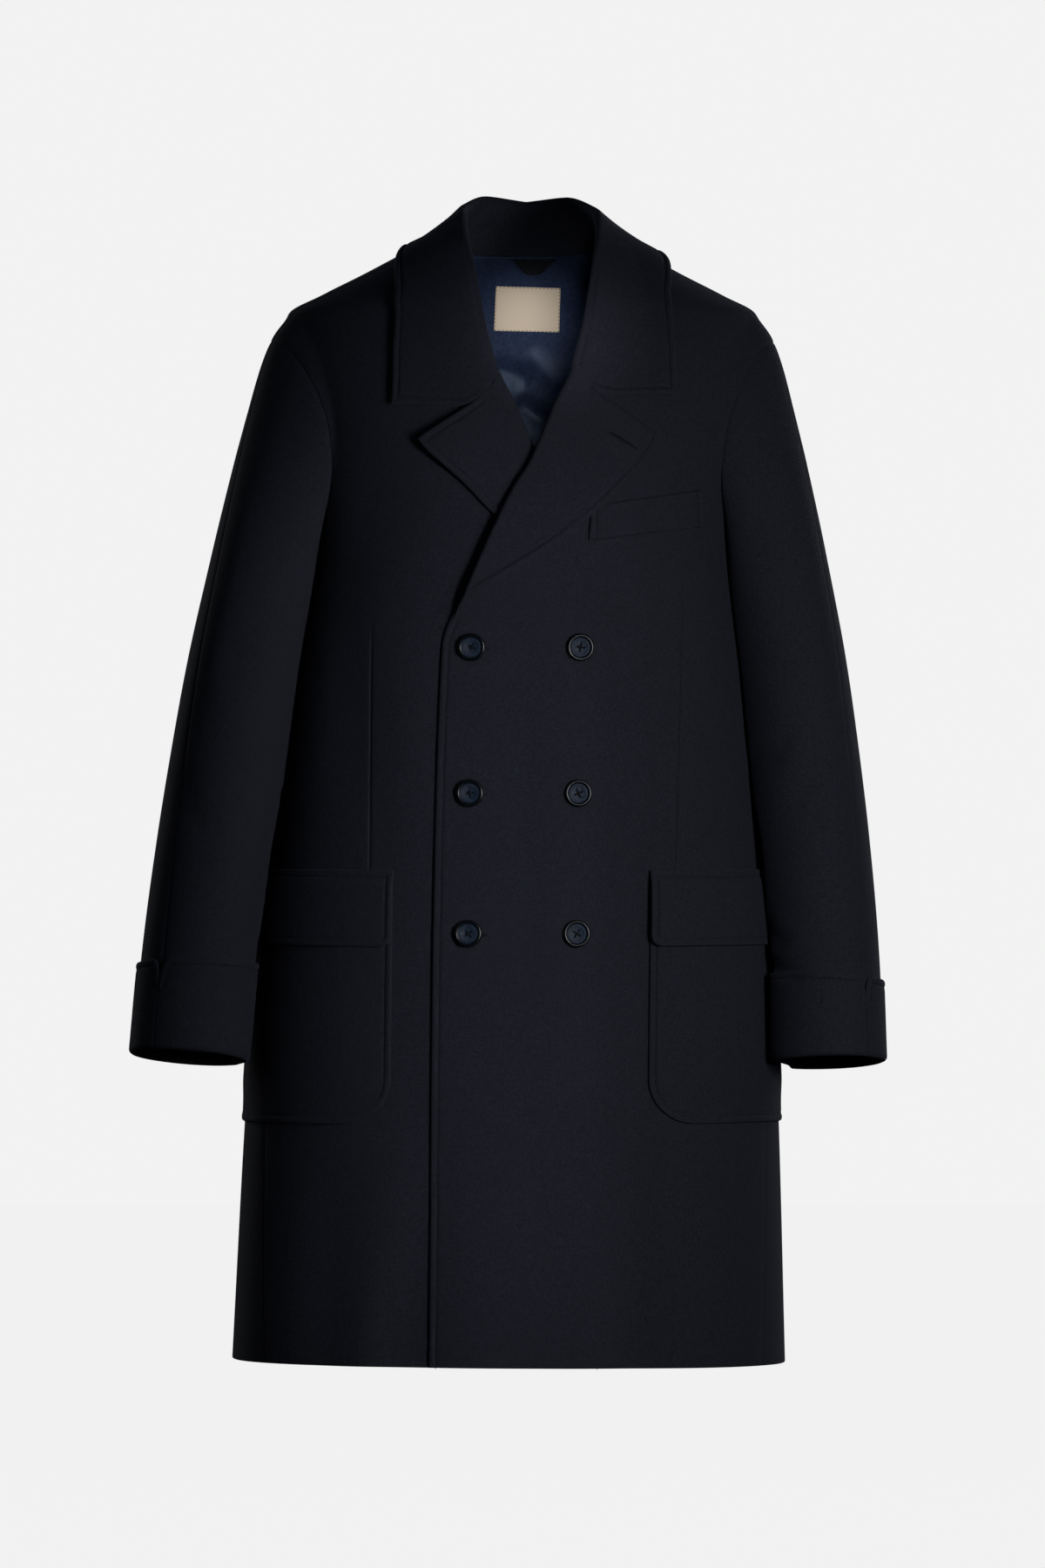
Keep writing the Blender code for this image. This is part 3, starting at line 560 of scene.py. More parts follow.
def group(name, inputs, outputs):
    """An empty node group with named sockets, and its two ends."""
    tree = bpy.data.node_groups.new(name, "ShaderNodeTree")
    for title, default in inputs:
        socket = tree.interface.new_socket(title, in_out="INPUT", socket_type="NodeSocketFloat")
        socket.default_value = default
    for title in outputs:
        tree.interface.new_socket(title, in_out="OUTPUT", socket_type="NodeSocketFloat")
    return tree, tree.nodes.new("NodeGroupInput"), tree.nodes.new("NodeGroupOutput")


def feed(tree, socket, value):
    """Links a socket to another, or sets it to a number or a colour."""
    if isinstance(value, bpy.types.NodeSocket):
        tree.links.new(value, socket)
    else:
        socket.default_value = value


def maths(tree, operation, a, b):
    node = add(tree, "ShaderNodeMath", operation=operation)
    feed(tree, node.inputs[0], a)
    feed(tree, node.inputs[1], b)
    return node.outputs[0]


def mixed(tree, share, first, second):
    """A colour that goes from first to second as share goes from 0 to 1."""
    node = add(tree, "ShaderNodeMix", data_type="RGBA")
    for index, value in zip(MIX_SOCKETS, (share, first, second)):
        feed(tree, node.inputs[index], value)
    return node.outputs[MIXED]


def in_millimetres(tree, stretch=(1000, 1000, 1000)):
    """The coat's own space, in millimetres or stretched."""
    place = add(tree, "ShaderNodeTexCoord")
    scaled = add(tree, "ShaderNodeVectorMath", operation="MULTIPLY")
    scaled.inputs[1].default_value = stretch
    tree.links.new(place.outputs["Object"], scaled.inputs[0])
    return scaled.outputs[0]


def noise(tree, vector, scale, detail, roughness=0.6):
    node = add(tree, "ShaderNodeTexNoise", scale=scale, detail=detail, roughness=roughness)
    tree.links.new(vector, node.inputs["Vector"])
    return node.outputs["Factor" if "Factor" in node.outputs else "Fac"]


# %% Felted nap and woven rib
nap, start, end = group("felted_nap", [("Size", 1.0), ("Flecks", 0.5)], ["Mottle", "Fibre", "Height"])
space = in_millimetres(nap)
sized = add(nap, "ShaderNodeVectorMath", operation="SCALE")
nap.links.new(space, sized.inputs[0])
nap.links.new(start.outputs["Size"], sized.inputs["Scale"])
speck = noise(nap, sized.outputs[0], scale=0.55, detail=4, roughness=0.7)
cloud = noise(nap, sized.outputs[0], scale=0.035, detail=3)
long_way = noise(nap, in_millimetres(nap, (900, 900, 160)), scale=1.0, detail=2)
cross_way = noise(nap, in_millimetres(nap, (170, 900, 900)), scale=1.0, detail=2)
fleck = maths(nap, "MULTIPLY", maths(nap, "MAXIMUM", long_way, cross_way), start.outputs["Flecks"])
nap.links.new(maths(nap, "ADD", maths(nap, "MULTIPLY", cloud, 0.6), maths(nap, "MULTIPLY", speck, 0.4)),
              end.inputs["Mottle"])
nap.links.new(maths(nap, "ADD", maths(nap, "MULTIPLY", speck, 0.7), fleck), end.inputs["Fibre"])
nap.links.new(maths(nap, "ADD", speck, fleck), end.inputs["Height"])

BAND = 0.314            # a Wave texture of scale 1 repeats at this distance
rib, start, end = group("woven_rib", [("Pitch", 0.5)], ["Rib", "Uneven"])
wave = add(rib, "ShaderNodeTexWave", wave_type="BANDS", bands_direction="Z", distortion=0.6, detail=1.0)
rib.links.new(in_millimetres(rib), wave.inputs["Vector"])
rib.links.new(maths(rib, "DIVIDE", BAND, start.outputs["Pitch"]), wave.inputs["Scale"])
rib.links.new(wave.outputs["Fac"], end.inputs["Rib"])
rib.links.new(noise(rib, in_millimetres(rib), scale=0.3, detail=3), end.inputs["Uneven"])
print("node groups:", [g.name for g in (nap, rib)])


# %% Cloth, thread and button finishes
RAMP_ENDS = (0.3, 0.72)     # values of the mask that get the dark and the light colour
DISH = (8.4, 9.4)       # distance from a button's axis over which its dished middle turns to rim


def finish(name, shared, values, dark, light, rough, bump, height, mask, **shader):
    """A Principled material whose colour, roughness and bump come from a shared group.

    mask runs from dark to light and through the two values of rough; bump is its strength and depth."""
    made = bpy.data.materials.new(name)
    made.use_nodes = True
    tree = made.node_tree
    surface = tree.nodes["Principled BSDF"]
    for key, value in shader.items():
        surface.inputs[key.replace("_", " ").title().replace("Ior", "IOR")].default_value = value
    source = add(tree, "ShaderNodeGroup", node_tree=shared)
    for key, value in values.items():
        source.inputs[key].default_value = value
    ramp = add(tree, "ShaderNodeValToRGB")
    for stop, colour, position in zip(ramp.color_ramp.elements, (dark, light), RAMP_ENDS):
        stop.color = (*colour, 1)
        stop.position = position
    tree.links.new(source.outputs[mask], ramp.inputs[0])
    tree.links.new(ramp.outputs[0], surface.inputs["Base Color"])
    spread = add(tree, "ShaderNodeMapRange")
    spread.inputs["To Min"].default_value, spread.inputs["To Max"].default_value = rough
    tree.links.new(source.outputs[mask], spread.inputs["Value"])
    tree.links.new(spread.outputs[0], surface.inputs["Roughness"])
    raised = add(tree, "ShaderNodeBump", strength=bump[0], distance=bump[1] * MM)
    tree.links.new(source.outputs[height], raised.inputs["Height"])
    tree.links.new(raised.outputs[0], surface.inputs["Normal"])
    return made, tree, surface, ramp


LIGHTER_EDGE_SHARE, LIGHTER_EDGE_COLOUR = 0.35, (0.017, 0.019, 0.026, 1)      # of the lighter band along the stitched edges
RIM_COLOUR, DISH_ROUGH, RIM_ROUGH = (0.0015, 0.0025, 0.004, 1), 0.6, 0.27
wool, tree, surface, ramp = finish(
    "navy_coating", nap, {"Flecks": 0.45}, dark=(0.0026, 0.0029, 0.0046), light=(0.0168, 0.0185, 0.0280),
    rough=(0.95, 0.82), bump=(0.8, 0.45), height="Height", mask="Fibre", sheen_weight=0.05,
    sheen_roughness=0.42, sheen_tint=(0.62, 0.7, 0.95, 1), specular_ior_level=0.18)
# The cloth's colour is mixed towards a lighter navy along its stitched edges.
edge_nearness = add(tree, "ShaderNodeAttribute", attribute_name="lighter_edge")
edge_share = maths(tree, "MULTIPLY", edge_nearness.outputs["Fac"], LIGHTER_EDGE_SHARE)
lighter = mixed(tree, edge_share, ramp.outputs[0], LIGHTER_EDGE_COLOUR)
tree.links.new(lighter, surface.inputs["Base Color"])

satin = finish(
    "navy_lining", rib, {"Pitch": 0.35}, dark=(0.014, 0.022, 0.053), light=(0.029, 0.045, 0.095),
    rough=(0.36, 0.48), bump=(0.12, 0.08), height="Rib", mask="Uneven", sheen_weight=0.2, sheen_roughness=0.3,
    sheen_tint=(0.5, 0.65, 1, 1), specular_ior_level=0.35, specular_tint=(0.6, 0.75, 1, 1))[0]
ribbon = finish(
    "navy_ribbon", rib, {"Pitch": 0.8}, dark=(0.0016, 0.0026, 0.0044), light=(0.006, 0.009, 0.014),
    rough=(0.6, 0.8), bump=(0.6, 0.25), height="Rib", mask="Rib", sheen_weight=0.05,
    specular_ior_level=0.15)[0]
tan = finish(
    "label_weave", rib, {"Pitch": 0.55}, dark=(0.74, 0.60, 0.45), light=(0.86, 0.72, 0.56),
    rough=(0.6, 0.78), bump=(0.5, 0.2), height="Rib", mask="Rib", sheen_weight=0.15,
    specular_ior_level=0.35)[0]
SEWING = {"Size": 2.5, "Flecks": 0.3}
SEWN_FINISH = {"rough": (0.7, 0.9), "bump": (0.4, 0.1), "height": "Height", "mask": "Fibre"}
thread = finish(
    "navy_thread", nap, SEWING, dark=(0.0012, 0.0014, 0.0024), light=(0.0036, 0.0042, 0.0066),
    **SEWN_FINISH, sheen_weight=0.02, specular_ior_level=0.12)[0]
brown = finish(
    "brown_thread", nap, SEWING, dark=(0.10, 0.062, 0.035), light=(0.19, 0.125, 0.075),
    **SEWN_FINISH, specular_ior_level=0.2)[0]
horn, tree, surface, ramp = finish(
    "button_horn", nap, {"Size": 0.25, "Flecks": 0.2}, dark=(0.0010, 0.0070, 0.0190),
    light=(0.0022, 0.0140, 0.0360), rough=(0.16, 0.30), bump=(0.05, 0.05), height="Height", mask="Mottle",
    specular_ior_level=0.3)
flat = add(tree, "ShaderNodeVectorMath", operation="LENGTH")
tree.links.new(in_millimetres(tree, (1000, 1000, 0)), flat.inputs[0])
rim = add(tree, "ShaderNodeMapRange", from_min=DISH[0], from_max=DISH[1])
tree.links.new(flat.outputs["Value"], rim.inputs["Value"])
darker = mixed(tree, rim.outputs[0], ramp.outputs[0], RIM_COLOUR)
tree.links.new(darker, surface.inputs["Base Color"])
dull = add(tree, "ShaderNodeMapRange", to_min=DISH_ROUGH, to_max=RIM_ROUGH)
tree.links.new(rim.outputs[0], dull.inputs["Value"])
tree.links.new(dull.outputs[0], surface.inputs["Roughness"])
print("finishes:", [m.name for m in (wool, satin, ribbon, tan, thread, brown, horn)])

# %% [markdown]
# ## The sleeve's form
# The panels run a little way over the head of the sleeve, so the form of the sleeve comes first. It is an
# oval tube down the arm that takes the armhole's shape at its top. Its creases are strokes on the tube, by
# angle and by share of its length.

# %% Sections of the sleeve
SLEEVE = np.array([     # height, centre from the centre line, centre depth, half width, half depth
    (-740, 285.3, -64.5, 50.9, 54.6),
    (-722, 284.0, -62, 51.0, 55),
    (-640, 278.5, -51, 51.5, 57),
    (-570, 270.5, -42, 53.0, 59),
    (-470, 257.0, -30, 54.0, 63),
    (-370, 241.5, -20, 54.0, 66),
    (-270, 221.0, -14, 54.0, 69),
    (-195, 204.5, -9, 54.0, 69),
    (-125, 189.5, -6, 53.5, 66),
    (-78, 181.0, -5, 49.0, 60),
    (-57, 174.0, -5, 42.0, 54),
])
ARM_X, ARM_Y, ARM_HALF, ARM_DEEP = 1, 2, 3, 4   # columns of the table
SLEEVE_SWING, CAP_FADE, MOUTH_RISE = 7.0, 0.34, 7.5
HEAD_CLEAR = (2.5, 0, 0.05)     # height over the body, and the shares of the length between which it comes in
SIDE_CLEAR = ((7.8, -470, -545), (4.0, -600, -640))     # more of it over flap and pocket, between heights
TURN_PROBE, SHARE_PROBE = 0.4, 0.01     # steps for measuring a slope
SLEEVE_LENGTH = 660     # turns a share of the length into millimetres
SLEEVE_SEAM = np.array([(0, -2), (0.25, 25), (0.6, 40), (0.85, 50), (1, 52)])
CUFFS = {-1: (-719.0, 4.0, 83.0, -3.0), 1: (-724.0, 1.0, 75.0, -4.0)}
SLEEVE_STROKES = {      # angle and share from, angle and share to, half width, depth
    1: ((172, 0.80, 112, 0.87, 8, -2.6), (182, 0.71, 128, 0.80, 12, -1.8), (150, 0.74, 105, 0.80, 9, 1.2),
        (158, 0.43, 104, 0.49, 15, -1.6), (58, 0.50, 112, 0.60, 18, -1.3), (98, 0.10, 78, 0.40, 20, -2.0),
        (40, 0.16, 52, 0.42, 16, 1.2), (262, 0.40, 205, 0.47, 14, -2.2), (250, 0.52, 310, 0.58, 15, -1.8),
        (300, 0.12, 285, 0.36, 20, -1.9), (235, 0.68, 290, 0.76, 13, -1.6)),
    -1: ((100, 0.12, 76, 0.46, 21, -2.1), (48, 0.20, 56, 0.50, 16, 1.3), (162, 0.48, 108, 0.56, 13, -1.7),
         (34, 0.60, 84, 0.69, 16, -1.3), (170, 0.76, 120, 0.84, 10, -1.6), (126, 0.62, 88, 0.72, 14, 1.1),
         (255, 0.38, 200, 0.46, 15, -2.0), (246, 0.55, 305, 0.60, 14, -1.9), (296, 0.14, 280, 0.40, 19, -2.0),
         (228, 0.70, 284, 0.78, 14, -1.5)),
}
print("strokes on the sleeves:", [len(SLEEVE_STROKES[side]) for side in (1, -1)])


# %% Lay a place on the sleeve
def sleeve_points(side, turn_round, share_down):
    """Face of the sleeve: an oval tube down the arm that takes the armhole's shape at its top."""
    a, w = np.broadcast_arrays(np.radians(turn_round), np.asarray(share_down, float))
    start_turn, start_z = arm_edge(side, np.degrees(a))
    mouth, outer_rise = CUFFS[side][:2]
    end_z = mouth + outer_rise * np.cos(a) + MOUTH_RISE * np.sin(a)

    def oval(z):
        swing = -SLEEVE_SWING * ((z - ARM_TOP) / (mouth - ARM_TOP)) ** 2
        x = side * (smooth(SLEEVE, ARM_X, z) + smooth(SLEEVE, ARM_HALF, z) * np.cos(a)) + swing
        y = smooth(SLEEVE, ARM_Y, z) - smooth(SLEEVE, ARM_DEEP, z) * np.sin(a)
        return np.stack([x + centre(z), y, z], -1)

    start = on_form(side, start_turn, start_z)
    fade = np.clip(1 - w / CAP_FADE, 0, 1) ** 3
    points = oval(start_z + (end_z - start_z) * w) + (start - oval(start_z)) * fade[..., None]
    clear = HEAD_CLEAR[0] * step(*HEAD_CLEAR[1:], w)
    for high, *heights in SIDE_CLEAR:
        clear = clear + high * step(*heights, points[..., 2])
    return push_out(points, clear)


def sleeve_face(side, turn_round, share_down, lift=0.0):
    """Sleeve points with the creases, moved out from the sleeve."""
    turns, shares = np.broadcast_arrays(np.asarray(turn_round, float), np.asarray(share_down, float))
    points = sleeve_points(side, turns, shares)
    across = sleeve_points(side, turns + TURN_PROBE, shares) - sleeve_points(side, turns - TURN_PROBE, shares)
    down = sleeve_points(side, turns, shares + SHARE_PROBE) - points
    out = side * unit(np.cross(across, down))
    crease = 0.0
    for turn0, share0, turn1, share1, width, depth in SLEEVE_STROKES[side]:
        line = (turn0, share0 * SLEEVE_LENGTH, turn1, share1 * SLEEVE_LENGTH, width, depth)
        crease = crease + stroke(turns % 360, shares * SLEEVE_LENGTH, *line)
    return points + out * (lift + crease)[..., None]


print("mouth of the left sleeve:", sleeve_face(1, 0.0, 1.0).round(1).tolist())

# %% Carry a panel over the sleeve's head
HEAD_DROP = 23.0        # how far the seam of the sleeve lies below the top of the shoulder
HEAD_POINTS, HEAD_FINER, HEAD_ROUNDS = 9, 3, 30     # points added to a row, how finely it is laid, smoothing


def seam_share(side, turn_round):
    """Share of the sleeve's length at which its seam to the body lies."""
    length = arm_edge(side, turn_round)[1] - CUFFS[side][0]
    return HEAD_DROP * ((1 + np.cos(np.radians(turn_round))) / 2) ** 2 / length


def over_sleeve_head(side, panel, turn_round, first):
    """Carries the upper rows of a panel on over the head of the sleeve, with a soft valley between."""
    count = HEAD_FINER * panel.shape[1]
    rows = []
    for i, row in enumerate(panel):
        if i > first:
            turn = turn_round[i - first]
            shares = seam_share(side, turn) * np.linspace(0, 1, HEAD_POINTS)[1:]
            row = np.concatenate([row, sleeve_face(side, turn, shares)])
        row = spaced_evenly(row, count)
        for _ in range(HEAD_ROUNDS if i > first else 0):
            row[1:-1] = (row[:-2] + 2 * row[1:-1] + row[2:]) / 4
        rows.append(row)
    return np.array(rows)


print("seam's share of the sleeve at its top:", float(seam_share(1, 0.0)))

# %% [markdown]
# ## Fronts and backs
# Each front runs from the hem to the shoulder seam, and each back likewise. Below the arm the rows are
# level. Above it a Coons patch fills the space between the roll line, the neckline, the shoulder seam
# and the armhole. The darts are sewn folds, so each is a narrow groove with a soft cheek on both sides.

# %% Values for fronts and backs
SIDES = ((1, "left"), (-1, "right"))
DARTS = {1: ((140.5, -287), (135.4, -553)), -1: ((135.6, -322), (135.0, -553))}
DART_TOP, DART_FOOT = (-40, 6), (-640, -600)    # fades: heights from the dart's top, and at its foot
DART_GROOVE, DART_CHEEK = (-0.9, 0.7), (0.35, 3.0)  # height, width
CHEEK_AT = 4            # from the dart to the middle of its cheek
UNDER_ARM = 4           # rows at least this far below the armhole are level
BREAK = -326.0          # where the front edge turns into the lapel's roll
BREAK_FADE, BEHIND_FADE = (-345, -318), (-326, -296)    # heights over which it turns, and goes behind
SEAM_HALF = 0.02        # half of the space left between two pieces at a seam
SHOULDER_GAP = 0.3      # space left between front and back at the shoulder seam
FRONT_PITCH, BACK_PITCH = 5.0, 5.8      # even steps of the grids
print("darts:", DARTS)


# %% Rows of a front
def patch(share, bottom, top, inner, outer):
    """Coons patch: four edge curves of (angle, height) to a grid of the same."""
    s = share[None, :, None]
    v = np.linspace(0, 1, len(inner))[:, None, None]
    ruled = (1 - v) * bottom[None] + v * top[None] + (1 - s) * inner[:, None] + s * outer[:, None]
    low = (1 - s) * bottom[0] + s * bottom[-1]
    high = (1 - s) * top[0] + s * top[-1]
    return ruled - (1 - v) * low - v * high


def evenly(curve, count):
    """A curve of (angle, height) with this many even steps."""
    at = np.linspace(0, len(curve) - 1, count)
    return np.stack([np.interp(at, np.arange(len(curve)), curve[:, k]) for k in (0, 1)], -1)


def front_edge(side, z):
    """Free edge of a front below the break, and the line behind the roll above it."""
    low = smooth(FRONT_EDGE, 1, np.minimum(z, ROLL[0, 0]))
    high = roll_at(side, np.maximum(z, ROLL[0, 0])) + ROLL_BACK * step(*BEHIND_FADE, z)
    return low + (high - low) * step(*BREAK_FADE, z)


def front_grid(side):
    chest = ARM_BOTTOM - SEAM_HALF
    levels = np.linspace(HEM, chest, 130)
    share = np.linspace(0, 1, 80)
    lower = []
    for z in levels:
        seam = side_seam_turn(z)
        seam = seam - degrees_for(SEAM_HALF, seam, z)
        first = front_turn(front_edge(side, z), z)
        lower.append(np.column_stack([first + (seam - first) * share, np.full(len(share), z)]))
    roll_z = np.linspace(chest, STATIONS[-1, SEAM_Z] + side * NECK_TILT, 40)
    roll_edge = np.column_stack([front_turn(roll_at(side, roll_z) + ROLL_BACK, roll_z), roll_z])
    neck_edge = np.column_stack(neck_seam(side, np.linspace(len(COLLAR) - 1, SHOULDER_END, 50)))
    inner = evenly(np.concatenate([roll_edge, neck_edge[1:]]), 60)
    outer = np.column_stack(arm_edge(side, np.linspace(180, 0, 60)))
    outer[0] = lower[-1][-1]
    top = inner[-1] + (outer[-1] - inner[-1]) * share[:, None]
    grid = np.concatenate([np.array(lower), patch(share, lower[-1], top, inner, outer)[1:]])
    turn, z = grid[..., 0], grid[..., 1]
    across = from_centre(side, on_form(side, turn, z, hung=False)[..., 0], z)
    panel = on_form(side, turn, z, front_lift(side, across, z))
    return over_sleeve_head(side, panel, np.linspace(180, 0, 60), len(lower) - 1)


print("front edge at the hem:", float(front_edge(1, HEM)))


# %% Lay the fronts with their darts
def dart_mark(side):
    """How far along each row of a front its dart lies."""
    def mark(lines, runs):
        spots, share = [], 0.0
        for line, run in zip(lines, runs):
            z = line[:, 2].mean()
            if z < ARM_BOTTOM - UNDER_ARM:
                across = from_centre(side, line[:, 0], line[:, 2])
                share = np.interp(dart_place(side, z), across, run) / run[-1]
            spots.append(share * run[-1])
        return spots
    return mark


def dart_place(side, z):
    (top_x, top_z), (low_x, low_z) = DARTS[side]
    return np.interp(z, (low_z, top_z), (low_x, top_x))


def dart_relief(side, points):
    """A stitched dart: a narrow groove that fades out at its upper end, and soft cheeks."""
    z = points[..., 2]
    away = from_centre(side, points[..., 0], z) - dart_place(side, z)
    top = DARTS[side][0][1]
    deep = (1 - step(top + DART_TOP[0], top + DART_TOP[1], z)) * step(*DART_FOOT, z) * (points[..., 1] < 0)
    groove = DART_GROOVE[0] * hump(away, DART_GROOVE[1])
    return deep * (groove + DART_CHEEK[0] * hump(np.abs(away) - CHEEK_AT, DART_CHEEK[1]))


for side, name in SIDES:
    grid = relaid(front_grid(side), 0, FRONT_PITCH, EDGE_LINES, SEAM_LINES)
    grid = relaid(grid, 1, FRONT_PITCH, EDGE_LINES, SEAM_LINES, dart_mark(side))
    free = int(np.argmax(grid[:, 0, 2] > BREAK))
    shell("front_" + name, grid, CLOTH, wool, side < 0, [("l", None, free)], dart_relief(side, grid), satin,
          soft="lb", seams="rt")


# %% Lay the backs
def back_grid(side):
    chest = ARM_BOTTOM - SEAM_HALF
    share = np.linspace(0, 1, 60)
    lower = []
    for z in np.linspace(HEM, chest, 110):
        seam = side_seam_turn(z)
        seam = seam + degrees_for(SEAM_HALF, seam, z)
        middle = 90 - degrees_for(SEAM_HALF, 89.0, z)
        lower.append(np.column_stack([middle + (seam - middle) * share, np.full(len(share), z)]))
    inner_z = np.linspace(chest, 0, 40)
    middle_edge = np.column_stack([90 - degrees_for(SEAM_HALF, 89.0, inner_z), inner_z])
    neckline = np.column_stack(neck_seam(side, np.linspace(0, SHOULDER_END, 40)))
    inner = evenly(np.concatenate([middle_edge, neckline[1:]]), 70)
    around = np.concatenate([np.linspace(180, 300, 40), np.linspace(300, 360, 40)[1:]])
    outer = evenly(np.column_stack(arm_edge(side, around)), 70)
    outer[0] = lower[-1][-1]
    neck_end, arm_end = np.array(neck_seam(side, SHOULDER_END)), np.array(arm_edge(side, 360.0))
    top = neck_end + (arm_end - neck_end) * share[:, None]
    top[:, 0] += degrees_for(SHOULDER_GAP, top[:, 0], top[:, 1])
    inner[-1], outer[-1] = top[0], top[-1]
    grid = np.concatenate([np.array(lower), patch(share, lower[-1], top, inner, outer)[1:]])
    grid = np.delete(grid, [-3, -2], 0)     # these rows would run past the shoulder seam
    panel = on_form(side, grid[..., 0], grid[..., 1])
    around = np.delete(np.interp(np.linspace(0, 78, 70), np.arange(79), around), [-3, -2])
    return over_sleeve_head(side, panel, around, len(lower) - 1)


for side, name in SIDES:
    grid = relaid(back_grid(side), 0, BACK_PITCH, EDGE_LINES, SEAM_LINES)
    grid = relaid(grid, 1, BACK_PITCH, SEAM_LINES, SEAM_LINES)
    shell("back_" + name, grid, CLOTH, wool, side > 0, lining=satin, soft="b", seams="lrt")

# %% [markdown]
# ## Lapels and collar
# A lapel is the top of the front turned back on itself. Its section starts behind the panel, goes round
# a soft roll and lies back over the chest. The collar is made the same way, as a stand, a roll and a
# fall, and its sections are set out at stations round the neck.

# %% Edges of the lapels
LAPEL_LEFT = np.array([     # height on the roll line, then the edge's distance from the centre and its height
    (-332, -62.8, -330.5), (-322, -57, -318), (-312, -38, -302), (-296, -16, -289), (-270, 22, -263),
    (-238, 52, -238), (-205, 78, -211), (-172, 97, -190), (-144, 107, -175), (-119, 111, -163),
])
LAPEL_RIGHT = np.array([
    (-320, -50, -312), (-300, -14, -282), (-284, 4, -268), (-262, 21, -250), (-232, 42, -230),
    (-202, 62, -210), (-176, 80, -194), (-150, 94, -181), (-119, 101, -172),
])
GORGE_GAP = -4.5        # from the lapel's top up to the collar's end; below 0 the lapel goes under it
GORGE_BOW, BOW_SHARE, BOW_TOP = -8.0, 0.25, 0.28    # bow of the upper edge, how far down it goes, its top
LEFT_STAND, RIGHT_STAND = 1.4, 6.0      # how far the edge stands off the chest
STAND_FADE = (-215, -150)       # heights over which the right one comes in
LEVEL_WIDTH = 14        # width from which a lapel lies at its full level
ROLL_MOST, FLAT_CROWD = 0.4, 0.9        # most of the width that the roll takes, and how points crowd after it
LAPEL_NOTCH = 41.0      # distance along the upper edge at which it comes free of the collar
LAPEL_PITCH = (2.4, 2.0)        # even steps of the grid: up, across
BEND = np.radians(np.linspace(-90, 90, 15))
print("rows of the lapels:", len(LAPEL_LEFT), len(LAPEL_RIGHT))


# %% Lay the lapels
def bow(u, top):
    """A lopsided bow from 0 to 1: it is nearly 1 at its top and 0 at both ends."""
    u = np.clip(u, 0, 1) / top
    return u * np.exp(1 - u) - u * np.exp(1 - 1 / top)


def lapel_grid(side):
    table = LAPEL_LEFT if side > 0 else LAPEL_RIGHT
    heights = np.linspace(table[0, 0], STATIONS[-1, ROLL_Z] + side * NECK_TILT - GORGE_GAP, 90)
    bowed = heights[-1] - BOW_SHARE * (heights[-1] - heights[0])
    table = np.vstack([table[:-1], [heights[-1], *table[-1, 1:]]])
    sections = []
    for z in heights:
        start = np.array([roll_at(side, z), z])
        end_z = smooth(table, 2, z)
        end = np.array([smooth(table, 1, z) + side * NECK_SHIFT * step(*SHIFT_UP, end_z), end_z])
        width = np.linalg.norm(end - start)
        round_off = min(ROLL_RADIUS, ROLL_MOST * width)
        flat = np.linspace(0, 1, 40)[1:] ** FLAT_CROWD
        along = np.concatenate([
            [ROLL_BACK - ROLL_GAP], round_off * (1 - np.cos(BEND)), round_off + (width - round_off) * flat])
        stand = RIGHT_STAND * step(*STAND_FADE, z) if side < 0 else LEFT_STAND
        level = LAPEL_LEVEL * step(0, LEVEL_WIDTH, width)
        rounded = (level - CLOTH) / 2 + (level + CLOTH) / 2 * np.sin(BEND)
        over = np.concatenate([[-CLOTH], rounded, level + stand * step(0, 1, flat)])
        u = along / width
        spot = start + (end - start) * u[:, None]
        spot[:, 1] += GORGE_BOW * step(bowed, heights[-1], z) * bow(u, BOW_TOP)
        behind = 1 + len(BEND) // 2
        spot[:behind] = np.column_stack([start[0] + along[:behind], np.full(behind, z)])
        sections.append(on_front(side, spot[:, 0], spot[:, 1], over))
    return np.array(sections)


for side, name in SIDES:
    grid = relaid(lapel_grid(side), 1, LAPEL_PITCH[1], np.zeros(1), EDGE_LINES)
    grid = relaid(grid, 0, LAPEL_PITCH[0], SEAM_LINES, EDGE_LINES)
    notch = int(np.argmax(run_along(grid[-1:], 1)[0] > LAPEL_NOTCH))
    shell("lapel_" + name, grid, CLOTH, wool, side < 0, [("r", None, None), ("t", notch, None)])

# %% Sections of the collar
COLLAR_LIFT, COLLAR_EASE, COLLAR_RADIUS, STAND_GAP = 6.5, 1.6, 5.2, 0.4
NOTCH_BOW, NOTCH_TOP, NOTCH_FADE = -13.0, 0.24, (5.7, 7)    # bend of the ends, its top, its stations
END_DROP, END_FADE = -14.0, (6, 7)      # how far the curve of the fall drops at the ends, and its stations
FRONT_FADE = (FRONT_STATION, 5)     # stations over which the collar comes to lie on the front
ROLL_OVER = 1.2         # height of the roll over the front
SHIFT_END = 2.9         # last station at which the seam is moved with the neck
LEAF_HOLD, LEAF_RISE = 0.3, 2       # where the curve of the fall is held, and how high near its edge
STAND_CREASE = (-50, 17, -15, 41, 2.4, -4.5)    # x and z from, x and z to, half width, depth
CREASE_FADE = (30, 42)  # distance from the seam over which it ends
COLLAR_NOTCH = 80       # free length of the ends, in from the edge
COLLAR_PITCH = (3.8, 2.4)       # even steps of the grid: round the neck, across


